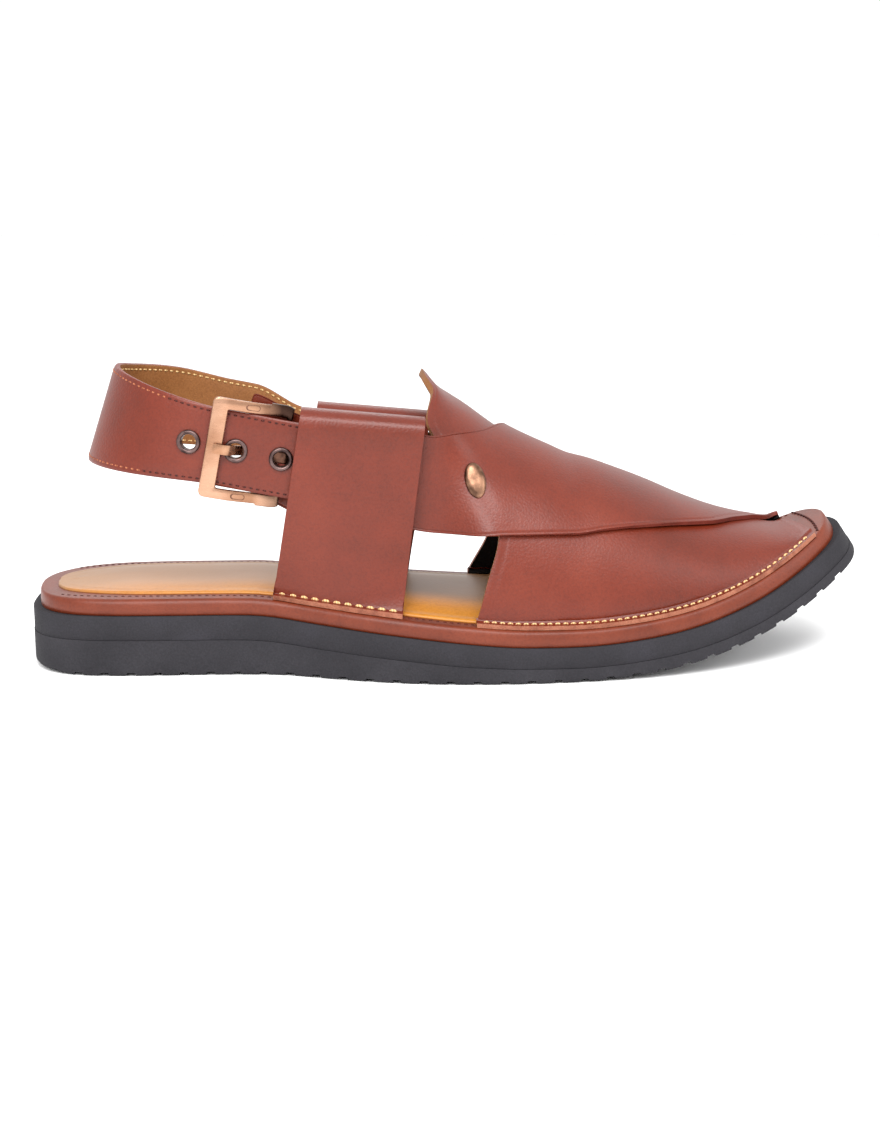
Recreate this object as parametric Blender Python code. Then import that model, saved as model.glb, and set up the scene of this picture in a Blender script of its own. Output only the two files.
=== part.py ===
# Peshawari chappal for the right foot: two rubber sole layers, a leather bound footbed, a padded insole,
# two wide bands that cross over the instep, two folded side loops and a buckled heel strap.
# +X points to the toe, +Y to the inner side of the foot and +Z up. The origin lies on the floor under the heel.
# A station is a distance along the underside from the back of the heel, and a height is normal to the underside.

import bpy
import bmesh
from math import cos, pi, radians, sin
from mathutils import Matrix, Vector

# Driving sizes of the sole
SOLE_LENGTH = 0.308            # underside, from the back of the heel to the toe
BALL_WIDTH = 0.0965         # widest part of the sole
HEEL_SEAT = 0.036           # back of the heel to the origin
HEEL_STACK = 0.0212         # both rubber layers under the heel
TOE_SPRING = 34.0           # slope of the underside at the toe tip, degrees
HEEL_BEVEL = 0.0018         # lift of the worn-in back edge of the heel
BEVEL_RUN = 0.022           # length of that lift
WALL_STEP = 0.0006          # step between the side walls of the two rubber layers

# Tread
LUG_PITCH = 0.0092
LUG_GAP = 0.0026            # width of a groove between two lugs
LUG_DEPTH = 0.0011
TREAD_SPINE = 0.020         # smooth strip down the middle, between the two rows of lugs

# Footbed and insole
BOARD = 0.0056              # thickness of the leather bound board
RAND_IN_SIDE = 0.0009       # how far its edge lies inside the rubber along the sides
RAND_IN_END = 0.0028        # and at heel and toe
RAND_ROUND = 0.0018         # rounding of its top edge
SOCK_RECESS = 0.0016        # depth of the seat of the insole
SOCK_BORDER = 0.0085        # width of the border round that seat
SOCK_RUN_OUT = 0.0030       # length in which the seat runs out at heel and toe
SOCK_EDGE = 0.0022          # thickness of the insole at its edge
SOCK_CROWN = 0.0016         # extra thickness in its middle

# Leather upper
BAND = 0.0016               # leather of the crossed bands
LEATHER = 0.0020            # outer layer of the side loops
GAP = 0.0003                # between pieces that touch
BAND_GAP = 0.0007           # between the two bands
FLANGE = 0.0030             # out-turned stitched edge
FLANGE_IN = 0.0017          # raw edge of the flange inside the edge of the footbed
INSTEP = 0.0776             # height of the instep over the footbed, inside the bands
BAND_BLEND = 0.024          # length in which a band swings from its loop onto the instep

# Side loops
LOOP_HALF = 0.0360          # outer face of a loop at its top, from the middle of the shoe
LOOP_TOP_REAR = 0.0932      # height of the lateral fold at its rear edge
LOOP_FALL = 0.0038          # how much lower it is at its front edge
LOOP_MEDIAL_DROP = 0.0054   # how much lower the medial loop is
LOOP_REAR = 0.0865          # station of the rear edge at the footbed
LOOP_WIDTH = 0.0445         # width at the footbed
LOOP_TAPER = 0.0025         # how much narrower it is at the top
LOOP_LEAN = 0.0110          # how far the top lies forward of the foot of the loop
LOOP_MEDIAL_SHIFT = 0.0045  # medial loop forward of the lateral one
LOOP_LINING = 0.0015        # inner layer
TUNNEL = 0.0100             # clear depth between the two layers, where the strap passes
TUNNEL_FOOT = 0.0006        # and at the footbed

# Heel strap
STRAP = 0.0022
STRAP_WIDTH = 0.0262        # along the sides
STRAP_HEEL_WIDTH = 0.0348   # at the heel
STRAP_SLIDE = 0.0012        # slack between strap and outer loop layer
STRAP_SLOPE = 11.3          # fall of its plane towards the toe, degrees
STRAP_LEAN = 7.0            # inward lean round the heel, degrees
STRAP_BACK = 0.0262         # station of its rearmost point, at mid width
STRAP_ARC = 0.0400          # depth of the round part
STRAP_HEIGHT = 0.0887       # height of its rearmost point, at mid width
STRAP_RISE = 0.0026         # how much higher it runs along the inner side
STRAP_DROP = 0.0054         # how much of that and more it falls where it enters the medial loop
STRAP_END = 0.1270          # station where both ends stop inside the loops

# Eyelets
EYELET_FIRST = 0.0600       # station of the rearmost eyelet
EYELET_PITCH = 0.0152
EYELET_COUNT = 3
EYELET_RADIUS = 0.0041
EYELET_HOLE = 0.0026
EYELET_RIM = 0.0005         # how far the rim stands proud of the leather
EYELET_WALL = 0.0006

# Buckle
BUCKLE_STATION = 0.0680     # middle of the front bar
BUCKLE_RUN = 0.0235         # from the front bar to the hinge bar, centre to centre
BAR_FRONT = 0.0054          # width of the bar that carries the tip of the prong
BAR = 0.0036                # width of the top and bottom bars
BAR_DEPTH = 0.0022
BLOCK = 0.0006              # how much wider those bars are beside the hinge
BUCKLE_SLACK = 0.0005       # between the strap's edges and the frame
HINGE_RADIUS = 0.00095
HINGE_DEPTH = 0.00455       # hinge bar inward of the strap's outer face
PRONG = 0.0034              # width of the prong
PRONG_DEPTH = 0.0013
PRONG_EYE = 0.0008          # its thickness round the hinge bar
PRONG_PLAY = 0.00025        # between that eye and the bar
CHAPE = 0.00085             # leather of the folded chape
CHAPE_PLAY = 0.00022
CHAPE_WIDTH = 0.0150
CHAPE_RUN = 0.0065          # length of the chape from the hinge bar into the loop
TAB_SET_IN = 0.0050         # how far the tail of the outer band bends in behind the chape
TAB_BEND = 0.0140           # length of that bend

# Stud on the outer band
STUD_STATION = 0.505        # share of SOLE_LENGTH
STUD_ANGLE = 43.0
STUD_LONG = 0.0062          # half of its length, up the band
STUD_SHORT = 0.0040         # half of its width
STUD_HEIGHT = 0.0015

# Fineness of the meshes
SOLE_STEPS = 42
BAND_STEPS = 34
BAND_STRIPS = 9
LOOP_STEPS = 8
STRAP_STEPS = 52

# Columns: station (share of SOLE_LENGTH), slope of the underside (share of TOE_SPRING),
# both rubber layers (share of HEEL_STACK), tread layer (share of both layers)
SOLE_ROWS = (
    (0.000, 0.00, 1.000, 0.60),
    (0.250, 0.00, 0.990, 0.59),
    (0.320, 0.00, 0.895, 0.56),
    (0.440, 0.00, 0.735, 0.49),
    (0.500, 0.00, 0.650, 0.44),
    (0.560, 0.00, 0.585, 0.42),
    (0.635, 0.00, 0.565, 0.40),
    (0.700, 0.21, 0.570, 0.40),
    (0.760, 0.40, 0.560, 0.39),
    (0.820, 0.62, 0.545, 0.38),
    (0.880, 0.82, 0.520, 0.37),
    (0.940, 0.95, 0.500, 0.36),
    (1.000, 1.00, 0.490, 0.36),
)

# The outline of the rubber, once round from the back of the heel along the outer side.
# Columns: station (share of SOLE_LENGTH), distance from the middle line (share of BALL_WIDTH, inner side positive)
OUTLINE_ROWS = (
    (0.000, -0.020), (0.003, -0.135), (0.018, -0.232), (0.048, -0.297), (0.095, -0.326), (0.155, -0.332),
    (0.230, -0.333), (0.290, -0.350), (0.340, -0.402), (0.395, -0.457), (0.460, -0.497), (0.535, -0.513),
    (0.615, -0.502), (0.695, -0.472), (0.765, -0.430), (0.830, -0.376), (0.890, -0.312), (0.942, -0.234),
    (0.980, -0.145), (0.996, -0.040), (1.000, 0.070), (0.994, 0.175), (0.973, 0.268), (0.935, 0.345),
    (0.880, 0.410), (0.810, 0.458), (0.735, 0.484), (0.655, 0.480), (0.570, 0.450), (0.485, 0.412),
    (0.400, 0.378), (0.310, 0.355), (0.220, 0.345), (0.140, 0.340), (0.085, 0.322), (0.042, 0.270),
    (0.014, 0.180), (0.002, 0.085),
)

# The inside of the bands over the footbed.
# Columns: station (share of SOLE_LENGTH), ridge over the footbed (share of INSTEP),
# ridge from the middle line (share of BALL_WIDTH), fullness of the outer half and of the inner half
LAST_ROWS = (
    (0.240, 1.115, 0.060, 2.00, 2.00),
    (0.320, 1.105, 0.060, 2.00, 2.00),
    (0.390, 1.060, 0.065, 2.00, 2.00),
    (0.448, 0.982, 0.075, 2.00, 2.00),
    (0.497, 0.889, 0.080, 2.00, 2.00),
    (0.545, 0.775, 0.083, 2.05, 2.00),
    (0.600, 0.675, 0.087, 2.10, 2.00),
    (0.660, 0.592, 0.092, 2.10, 2.00),
    (0.700, 0.535, 0.095, 2.10, 2.00),
    (0.760, 0.445, 0.100, 2.05, 2.00),
    (0.850, 0.275, 0.110, 2.00, 2.00),
    (0.905, 0.130, 0.115, 2.00, 2.00),
    (0.935, 0.045, 0.115, 2.00, 2.00),
    (0.960, 0.020, 0.115, 2.00, 2.00),
)

# Each band runs from its tail in a loop to its stitched edge. An angle of 0 is the outer edge of the footbed,
# 90 the ridge and 180 the inner edge.
# Columns: place along the band, front edge (station as a share of SOLE_LENGTH, angle), rear edge (station, angle)
OUTER_BAND_ROWS = (
    (0.00, 0.258, 31.0, 0.258, 46.0),
    (0.03, 0.266, 24.5, 0.266, 53.0),
    (0.12, 0.325, 20.5, 0.325, 47.5),
    (0.30, 0.451, 21.5, 0.451, 52.0),
    (0.36, 0.500, 24.8, 0.482, 58.3),
    (0.42, 0.542, 29.2, 0.515, 68.0),
    (0.47, 0.594, 33.0, 0.536, 82.0),
    (0.52, 0.653, 37.7, 0.550, 96.0),
    (0.62, 0.769, 47.5, 0.562, 115.0),
    (0.70, 0.843, 58.5, 0.562, 132.0),
    (0.76, 0.888, 74.0, 0.559, 142.0),
    (0.80, 0.938, 90.0, 0.556, 148.0),
    (0.90, 0.943, 135.0, 0.543, 164.5),
    (1.00, 0.945, 180.0, 0.516, 180.0),
)
INNER_BAND_ROWS = (
    (0.00, 0.330, 159.0, 0.330, 137.5),
    (0.18, 0.390, 158.0, 0.390, 138.0),
    (0.28, 0.443, 157.0, 0.448, 135.0),
    (0.32, 0.465, 156.0, 0.472, 130.0),
    (0.36, 0.497, 153.0, 0.474, 117.0),
    (0.42, 0.542, 149.0, 0.449, 93.0),
    (0.47, 0.600, 144.0, 0.454, 82.6),
    (0.52, 0.653, 139.0, 0.467, 73.0),
    (0.58, 0.750, 126.0, 0.462, 60.0),
    (0.64, 0.800, 117.0, 0.480, 49.0),
    (0.72, 0.865, 106.0, 0.512, 37.0),
    (0.80, 0.938, 96.0, 0.533, 28.7),
    (0.90, 0.946, 45.0, 0.519, 12.0),
    (1.00, 0.948, 0.0, 0.507, 0.0),
)


def smooth_table(rows, column, place):
    """A curve through one column of a table that never overshoots its rows."""
    xs = [row[0] for row in rows]
    ys = [row[column] for row in rows]
    if place <= xs[0]:
        return ys[0]
    if place >= xs[-1]:
        return ys[-1]
    k = max(i for i in range(len(xs) - 1) if xs[i] <= place)
    slopes = [(ys[i + 1] - ys[i]) / (xs[i + 1] - xs[i]) for i in range(len(xs) - 1)]

    def tangent(i):
        if i == 0 or i == len(xs) - 1:
            return slopes[min(i, len(slopes) - 1)]
        before, after = slopes[i - 1], slopes[i]
        return 0.0 if before * after <= 0.0 else 2.0 * before * after / (before + after)

    width = xs[k + 1] - xs[k]
    u = (place - xs[k]) / width
    return (
        ys[k] * (1 + 2 * u) * (1 - u) ** 2
        + width * tangent(k) * u * (1 - u) ** 2
        + ys[k + 1] * u * u * (3 - 2 * u)
        + width * tangent(k + 1) * u * u * (u - 1)
    )


def ease(value):
    """From 0 to 1 with soft ends."""
    value = min(1.0, max(0.0, value))
    return value * value * (3.0 - 2.0 * value)


def mix(first, second, share):
    return first + (second - first) * share


def underside_curve():
    """Points (x, z) and slopes of the underside, a millimetre apart."""
    step = 0.001
    count = int(SOLE_LENGTH / step) + 40
    x, z, points = 0.0, 0.0, []
    for i in range(count):
        slope = radians(TOE_SPRING * smooth_table(SOLE_ROWS, 1, i * step / SOLE_LENGTH))
        points.append((x, z, slope))
        x += step * cos(slope)
        z += step * sin(slope)
    return step, points


CURVE_STEP, CURVE = underside_curve()


def place(station, side, height):
    """The point at a station, a distance to the inner side and a height normal to the underside."""
    at = min(max(station / CURVE_STEP, 0.0), len(CURVE) - 1.001)
    i = int(at)
    u = at - i
    x, z, slope = (mix(CURVE[i][k], CURVE[i + 1][k], u) for k in range(3))
    x += min(station, 0.0)
    return Vector((x - height * sin(slope) - HEEL_SEAT, side, z + height * cos(slope)))


def closed_curve(rows, per_span):
    """A closed smooth curve through the rows."""
    count = len(rows)
    points = []
    for i in range(count):
        p0, p1, p2, p3 = (rows[(i + k - 1) % count] for k in range(4))
        for j in range(per_span):
            u = j / per_span
            points.append(tuple(
                0.5 * (2 * p1[k] + (p2[k] - p0[k]) * u + (2 * p0[k] - 5 * p1[k] + 4 * p2[k] - p3[k]) * u * u
                       + (3 * p1[k] - p0[k] - 3 * p2[k] + p3[k]) * u ** 3)
                for k in range(2)))
    return points


def outline_sides():
    """The outline as two lists, outer and inner, from the back of the heel to the tip of the toe."""
    points = [(s * SOLE_LENGTH, y * BALL_WIDTH) for s, y in closed_curve(OUTLINE_ROWS, 12)]
    back = min(range(len(points)), key=lambda i: points[i][0])
    points = points[back:] + points[:back]
    tip = max(range(len(points)), key=lambda i: points[i][0])
    return points[:tip + 1], list(reversed(points[tip:])) if tip else []


OUTER_SIDE, INNER_SIDE = outline_sides()


def half_width(station, side):
    """Distance from the middle line to the edge of the rubber, side -1 outer and 1 inner."""
    points = OUTER_SIDE if side < 0 else INNER_SIDE
    for a, b in zip(points, points[1:]):
        if b[0] >= station and b[0] > a[0]:
            return mix(a[1], b[1], max(0.0, (station - a[0]) / (b[0] - a[0])))
    return points[-1][1]


def stack(station):
    return HEEL_STACK * smooth_table(SOLE_ROWS, 2, station / SOLE_LENGTH)


def tread_layer(station):
    return stack(station) * smooth_table(SOLE_ROWS, 3, station / SOLE_LENGTH)


def footbed_top(station):
    return stack(station) + GAP + BOARD


def rand_half(station, side):
    """The edge of the footbed along the sides."""
    return abs(half_width(station, side)) - RAND_IN_SIDE


def material(name, colour, roughness, metallic=0.0):
    made = bpy.data.materials.new(name)
    made.use_nodes = True
    shader = made.node_tree.nodes["Principled BSDF"]
    shader.inputs["Base Color"].default_value = (*colour, 1.0)
    shader.inputs["Roughness"].default_value = roughness
    shader.inputs["Metallic"].default_value = metallic
    return made


def solid(name, verts, faces, finish, sharp=40.0):
    """An object from vertices and faces, closed and facing out."""
    mesh = bpy.data.meshes.new(name)
    work = bmesh.new()
    made = [work.verts.new(v) for v in verts]
    for face in faces:
        if len(set(face)) > 2:
            work.faces.new([made[i] for i in face])
    bmesh.ops.recalc_face_normals(work, faces=work.faces)
    if work.calc_volume(signed=True) < 0.0:
        bmesh.ops.reverse_faces(work, faces=work.faces)
    work.to_mesh(mesh)
    work.free()
    mesh.materials.append(finish)
    mesh.shade_smooth()
    mesh.set_sharp_from_angle(angle=radians(sharp))
    made = bpy.data.objects.new(name, mesh)
    bpy.context.collection.objects.link(made)
    return made


def loft(name, sections, finish, sharp=40.0):
    """A closed solid through closed sections with the same number of points, capped at both ends."""
    count = len(sections[0])
    verts = [v for section in sections for v in section]
    faces = []
    for i in range(len(sections) - 1):
        for j in range(count):
            k = (j + 1) % count
            faces.append((i * count + j, i * count + k, (i + 1) * count + k, (i + 1) * count + j))
    faces.append(tuple(reversed(range(count))))
    last = (len(sections) - 1) * count
    faces.append(tuple(last + j for j in range(count)))
    return solid(name, verts, faces, finish, sharp)


def sheet(name, outer, inner, finish, sharp=50.0):
    """A closed solid between two grids of points."""
    rows, columns = len(outer), len(outer[0])
    verts = [v for row in outer for v in row] + [v for row in inner for v in row]
    base = rows * columns

    def at(i, j, layer=0):
        return layer * base + i * columns + j

    faces = []
    for i in range(rows - 1):
        for j in range(columns - 1):
            faces.append((at(i, j), at(i, j + 1), at(i + 1, j + 1), at(i + 1, j)))
            faces.append((at(i, j, 1), at(i + 1, j, 1), at(i + 1, j + 1, 1), at(i, j + 1, 1)))
    for i in range(rows - 1):
        faces.append((at(i, 0), at(i + 1, 0), at(i + 1, 0, 1), at(i, 0, 1)))
        j = columns - 1
        faces.append((at(i, j), at(i, j, 1), at(i + 1, j, 1), at(i + 1, j)))
    for j in range(columns - 1):
        faces.append((at(0, j), at(0, j, 1), at(0, j + 1, 1), at(0, j + 1)))
        i = rows - 1
        faces.append((at(i, j), at(i, j + 1), at(i, j + 1, 1), at(i, j, 1)))
    return solid(name, verts, faces, finish, sharp)


def cut(target, cutter):
    """Takes one shape out of another."""
    cutter.hide_render = True
    cutter.display_type = "WIRE"
    modifier = target.modifiers.new("cut", "BOOLEAN")
    modifier.operation = "DIFFERENCE"
    modifier.solver = "EXACT"
    modifier.object = cutter


def sole_sections(inset_side, inset_end, profile):
    """Sections across the sole. The profile gives (inset, height) pairs up the side for a station."""
    sections = []
    for i in range(SOLE_STEPS + 1):
        share = 0.5 - 0.5 * cos(pi * (i + 0.6) / (SOLE_STEPS + 1.2))
        source = share * SOLE_LENGTH
        station = inset_end + share * (SOLE_LENGTH - 2 * inset_end)
        outer = half_width(source, -1) + inset_side
        inner = half_width(source, 1) - inset_side
        rise = profile(station)
        reach = 0.47 * (inner - outer)
        left = [place(station, outer + min(d, reach), h) for d, h in rise]
        right = [place(station, inner - min(d, reach), h) for d, h in reversed(rise)]
        sections.append(left + right)
    return sections


def build_outsole(finish):
    def profile(station):
        lift = HEEL_BEVEL * max(0.0, 1.0 - station / BEVEL_RUN) ** 2
        return [(0.0006, lift), (0.0, lift + 0.0006), (0.0, tread_layer(station))]

    outsole = loft("outsole", sole_sections(0.0, 0.0, profile), finish)
    verts, faces = [], []
    count = int(SOLE_LENGTH / LUG_PITCH)
    for i in range(1, count):
        station = i * LUG_PITCH
        for side in (-1, 1):
            first = len(verts)
            for reach in (TREAD_SPINE / 2, BALL_WIDTH):
                for along, height in ((-0.75, -LUG_DEPTH), (0.75, -LUG_DEPTH), (0.5, LUG_DEPTH), (-0.5, LUG_DEPTH)):
                    verts.append(place(station + along * LUG_GAP, side * reach, height))
            near = [first + k for k in range(4)]
            far = [first + 4 + k for k in range(4)]
            faces += [tuple(near), tuple(reversed(far))]
            faces += [(near[k], near[(k + 1) % 4], far[(k + 1) % 4], far[k]) for k in range(4)]
    grooves = solid("grooves", verts, faces, finish)
    cut(outsole, grooves)
    return outsole


def build_midsole(finish):
    def profile(station):
        low = tread_layer(station) + GAP
        return [(0.0, low), (0.0, stack(station) - 0.0006), (0.0005, stack(station))]

    return loft("midsole", sole_sections(WALL_STEP, WALL_STEP, profile), finish)


def seat(station):
    """The seat of the insole runs out before heel and toe."""
    short = RAND_IN_END + SOCK_BORDER
    return ease((min(station, SOLE_LENGTH - station) - short) / SOCK_RUN_OUT)


def build_footbed(finish):
    def profile(station):
        low = stack(station) + GAP
        top = footbed_top(station)
        return [
            (0.0004, low), (0.0, low + 0.0012), (0.0, top - RAND_ROUND),
            (0.3 * RAND_ROUND, top - 0.3 * RAND_ROUND), (RAND_ROUND, top),
            (SOCK_BORDER, top), (SOCK_BORDER + 0.0003, top - SOCK_RECESS * seat(station)),
        ]

    return loft("footbed", sole_sections(RAND_IN_SIDE, RAND_IN_END, profile), finish)


def build_insole(finish):
    border = SOCK_BORDER + 3 * GAP

    def profile(station):
        low = footbed_top(station) - SOCK_RECESS + GAP
        return [
            (0.0, low), (0.0, low + SOCK_EDGE - 0.0008), (0.0010, low + SOCK_EDGE),
            (0.0100, low + SOCK_EDGE + 0.8 * SOCK_CROWN), (0.0180, low + SOCK_EDGE + SOCK_CROWN),
        ]

    end = RAND_IN_END + border + SOCK_RUN_OUT
    return loft("insole", sole_sections(RAND_IN_SIDE + border, end, profile), finish)


def last_point(station, angle):
    """The inside of the upper."""
    share = station / SOLE_LENGTH
    ridge = INSTEP * smooth_table(LAST_ROWS, 1, share)
    middle = BALL_WIDTH * smooth_table(LAST_ROWS, 2, share)
    side = -1 if angle < 90.0 else 1
    power = 2.0 / smooth_table(LAST_ROWS, 3 if side < 0 else 4, share)
    reach = rand_half(station, side) - FLANGE_IN - FLANGE - BAND - side * middle
    turn = radians(min(180.0, max(0.0, angle)))
    return place(
        station,
        middle + side * reach * abs(cos(turn)) ** power,
        footbed_top(station) + ridge * max(0.0, sin(turn)) ** power,
    )


def last_normal(station, angle):
    ds, da = 0.0015, 2.0
    low, high = max(angle - da, 1.0), min(angle + da, 179.0)
    across = last_point(station, high) - last_point(station, low)
    along = last_point(station + ds, angle) - last_point(station - ds, angle)
    return across.cross(along).normalized() * -1.0


def loop_wall(station, side, height):
    """Distance from the middle line to the outer face of a side loop."""
    low = footbed_top(station)
    base = rand_half(station, side) - FLANGE_IN - FLANGE
    share = min(1.0, max(0.0, (height - low) / (LOOP_TOP_REAR - low)))
    return mix(base, LOOP_HALF, 1.0 - (1.0 - share) ** 4)


def band_point(own_side, station, angle, level, depth):
    """A point of a band, a depth inward of its outer face. Level 0 is underneath and 1 on top.

    A band follows the last, and its tail follows the wall of its own side loop, behind the strap."""
    point = last_point(station, angle) + last_normal(station, angle) * (level * (BAND + BAND_GAP) + BAND - depth)
    from_own = angle if own_side < 0 else 180.0 - angle
    leaving = (station - loop_stations(own_side, 1.0)[1] - 0.001) / BAND_BLEND
    tailness = (1.0 - ease(leaving)) * (1.0 - ease((from_own - 55.0) / 50.0))
    depth += LEATHER + STRAP_SLIDE + STRAP + 2 * GAP
    if own_side < 0:
        rise = (point.z - footbed_top(station)) / (LOOP_TOP_REAR - footbed_top(station))
        mouth = loop_stations(own_side, rise)[0] - 0.004
        depth += TAB_SET_IN * (1.0 - ease((station - mouth) / TAB_BEND))
    tail = own_side * (loop_wall(station, own_side, point.z) - depth)
    point.y = mix(point.y, tail, tailness)
    return point


def inner_band_point(station, angle, depth):
    """The band underneath keeps inside the tail of the one on top."""
    point = band_point(1, station, angle, 0, depth)
    if angle < 90.0:
        room = band_point(-1, station, angle, 1, BAND).y + BAND_GAP + depth
        point.y = mix(point.y, max(point.y, room), ease((angle - 4.0) / 14.0))
    return point


def outer_band_point(station, angle, depth):
    return band_point(-1, station, angle, 1, depth)


def band_edge(rows, share, first):
    return smooth_table(rows, first, share) * SOLE_LENGTH, smooth_table(rows, first + 1, share)


def build_band(name, rows, own_side, point_at, finish):
    """A wide band with its out-turned edge on the side away from its loop."""
    outer, inner = [], []
    for i in range(BAND_STEPS):
        share = i / BAND_STEPS
        front = band_edge(rows, share, 1)
        rear = band_edge(rows, share, 3)
        cells = [(mix(front[0], rear[0], j / BAND_STRIPS), mix(front[1], rear[1], j / BAND_STRIPS))
                 for j in range(BAND_STRIPS + 1)]
        outer.append([point_at(s, a, 0.0) for s, a in cells])
        inner.append([point_at(s, a, BAND) for s, a in cells])
    far = -own_side
    front = band_edge(rows, 1.0, 1)
    rear = band_edge(rows, 1.0, 3)
    stations = [mix(front[0], rear[0], j / BAND_STRIPS) for j in range(BAND_STRIPS + 1)]

    def foot(out, up):
        return [place(s, far * (rand_half(s, far) - FLANGE_IN - out), footbed_top(s) + GAP + up) for s in stations]

    outer.append(foot(FLANGE, BAND))
    inner.append(foot(FLANGE + BAND, 0.0))
    outer.append(foot(0.0, BAND))
    inner.append(foot(0.0, 0.0))
    return sheet(name, outer, inner, finish)


def loop_stations(side, rise):
    """Rear and front station of a loop at a share of its height."""
    shift = LOOP_MEDIAL_SHIFT if side > 0 else 0.0
    rear = LOOP_REAR + shift + LOOP_LEAN * rise
    return rear, rear + LOOP_WIDTH - LOOP_TAPER * rise


def loop_top(side, share):
    top = LOOP_TOP_REAR - LOOP_FALL * share
    return top - (LOOP_MEDIAL_DROP if side > 0 else 0.0)


def build_loop(name, side, finish):
    """An upright folded strap: outer layer, fold and inner layer round an open tunnel."""
    def ring(share, grow, points):
        made = []
        for depth, rise, up in points:
            rear, front = loop_stations(side, rise)
            station = mix(rear - grow, front + grow, share)
            low = footbed_top(station) + GAP
            height = mix(low, loop_top(side, share), rise) + up
            made.append(place(station, side * (loop_wall(station, side, height) - depth), height))
        return made

    def deep(rise):
        return LEATHER + mix(TUNNEL_FOOT, TUNNEL, ease(rise / 0.45))

    full = LEATHER + TUNNEL + LOOP_LINING
    fold = 0.3 * full
    rises = (0.12, 0.22, 0.33, 0.46, 0.60, 0.74, 0.86, 0.94)
    outside = (
        [(-FLANGE, 0.0, 0.0), (-FLANGE, 0.0, LEATHER), (0.0, 0.0, LEATHER)]
        + [(0.0, r, 0.0) for r in rises]
        + [(0.25 * fold, 0.985, 0.0), (fold, 1.0, 0.0), (full - fold, 1.0, 0.0), (full - 0.25 * fold, 0.985, 0.0)]
        + [(deep(r) + LOOP_LINING, r, 0.0) for r in (*reversed(rises), 0.0)]
    )
    inside = (
        [(LEATHER, r, 0.0) for r in rises]
        + [(LEATHER + 0.2 * TUNNEL, 1.0, -LEATHER), (LEATHER + 0.8 * TUNNEL, 1.0, -LEATHER)]
        + [(deep(r), r, 0.0) for r in reversed(rises)]
    )
    steps = range(LOOP_STEPS + 1)
    loop = loft(name, [ring(i / LOOP_STEPS, 0.0, outside) for i in steps], finish)
    tunnel = loft(name + "_tunnel", [ring(i / LOOP_STEPS, 0.004, inside) for i in steps], finish)
    cut(loop, tunnel)
    return loop


def strap_frame():
    """The plane of the heel strap: its middle, forward, inward and upward axes."""
    tilt = radians(STRAP_SLOPE)
    forward = Vector((cos(tilt), 0.0, -sin(tilt)))
    up = Vector((sin(tilt), 0.0, cos(tilt)))
    back = Vector((STRAP_BACK - HEEL_SEAT, 0.0, STRAP_HEIGHT))
    return back + forward * STRAP_ARC, forward, up


def strap_half():
    """Distance of the strap's outer face from the middle line along the sides."""
    return LOOP_HALF - LEATHER - STRAP_SLIDE


STRAP_QUARTER = 0.25 * pi * (STRAP_ARC + strap_half())


def strap_line(along):
    """The outer face at mid width, for a signed length: 0 at the heel, negative on the outer side.

    Gives the point, the outward direction and the share of the round part that is left."""
    middle, forward, up = strap_frame()
    side = -1.0 if along < 0 else 1.0
    reach = abs(along)
    if reach <= STRAP_QUARTER:
        turn = 0.5 * pi * reach / STRAP_QUARTER
        half = strap_half()
        point = middle - forward * STRAP_ARC * cos(turn) + Vector((0.0, side * half * sin(turn), 0.0))
        out = (-forward * half * cos(turn) + Vector((0.0, side * STRAP_ARC * sin(turn), 0.0))).normalized()
        return point, out, 1.0 - ease(1.8 * reach / STRAP_QUARTER - 0.8)
    point = middle + forward * (reach - STRAP_QUARTER) + Vector((0.0, side * strap_half(), 0.0))
    return point, Vector((0.0, side, 0.0)), 0.0


def strap_along(station, side):
    """The signed length at which the strap passes a station."""
    middle, forward, up = strap_frame()
    return side * (STRAP_QUARTER + (station - HEEL_SEAT - middle.x) / forward.x)


def strap_point(along, rise, depth):
    """A point of the strap: rise from -1 at its lower edge to 1 at its upper edge, depth inward of its face."""
    middle, forward, up = strap_frame()
    point, out, round_share = strap_line(along)
    heel_share = max(0.0, cos(min(0.5 * pi, 0.5 * pi * abs(along) / STRAP_QUARTER))) ** 1.3
    width = mix(STRAP_WIDTH, STRAP_HEEL_WIDTH, heel_share)
    lean = radians(STRAP_LEAN) * round_share
    rise_axis = up * cos(lean) - out * sin(lean)
    face_axis = out * cos(lean) + up * sin(lean)
    lift = STRAP_RISE * ease((along - 0.2 * STRAP_QUARTER) / (0.6 * STRAP_QUARTER))
    lift -= STRAP_DROP * ease((along - 1.18 * STRAP_QUARTER) / (0.36 * STRAP_QUARTER))
    return point + rise_axis * (0.5 * width * rise) - face_axis * depth + up * lift


def build_strap(finish):
    first = strap_along(STRAP_END, -1)
    final = strap_along(STRAP_END, 1)
    outer, inner = [], []
    for i in range(STRAP_STEPS + 1):
        along = mix(first, final, i / STRAP_STEPS)
        outer.append([strap_point(along, r, 0.0) for r in (-1.0, -0.4, 0.4, 1.0)])
        inner.append([strap_point(along, r, STRAP) for r in (-1.0, -0.4, 0.4, 1.0)])
    strap = sheet("heel_strap", outer, inner, finish)
    for i in range(EYELET_COUNT):
        hole = turned("eyelet_hole_%d" % (i + 1), [(0.0, 3 * STRAP), (EYELET_HOLE + EYELET_WALL + GAP, 3 * STRAP),
                                                   (EYELET_HOLE + EYELET_WALL + GAP, -3 * STRAP),
                                                   (0.0, -3 * STRAP)], eyelet_place(i), finish, 20)
        cut(strap, hole)
    return strap


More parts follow.
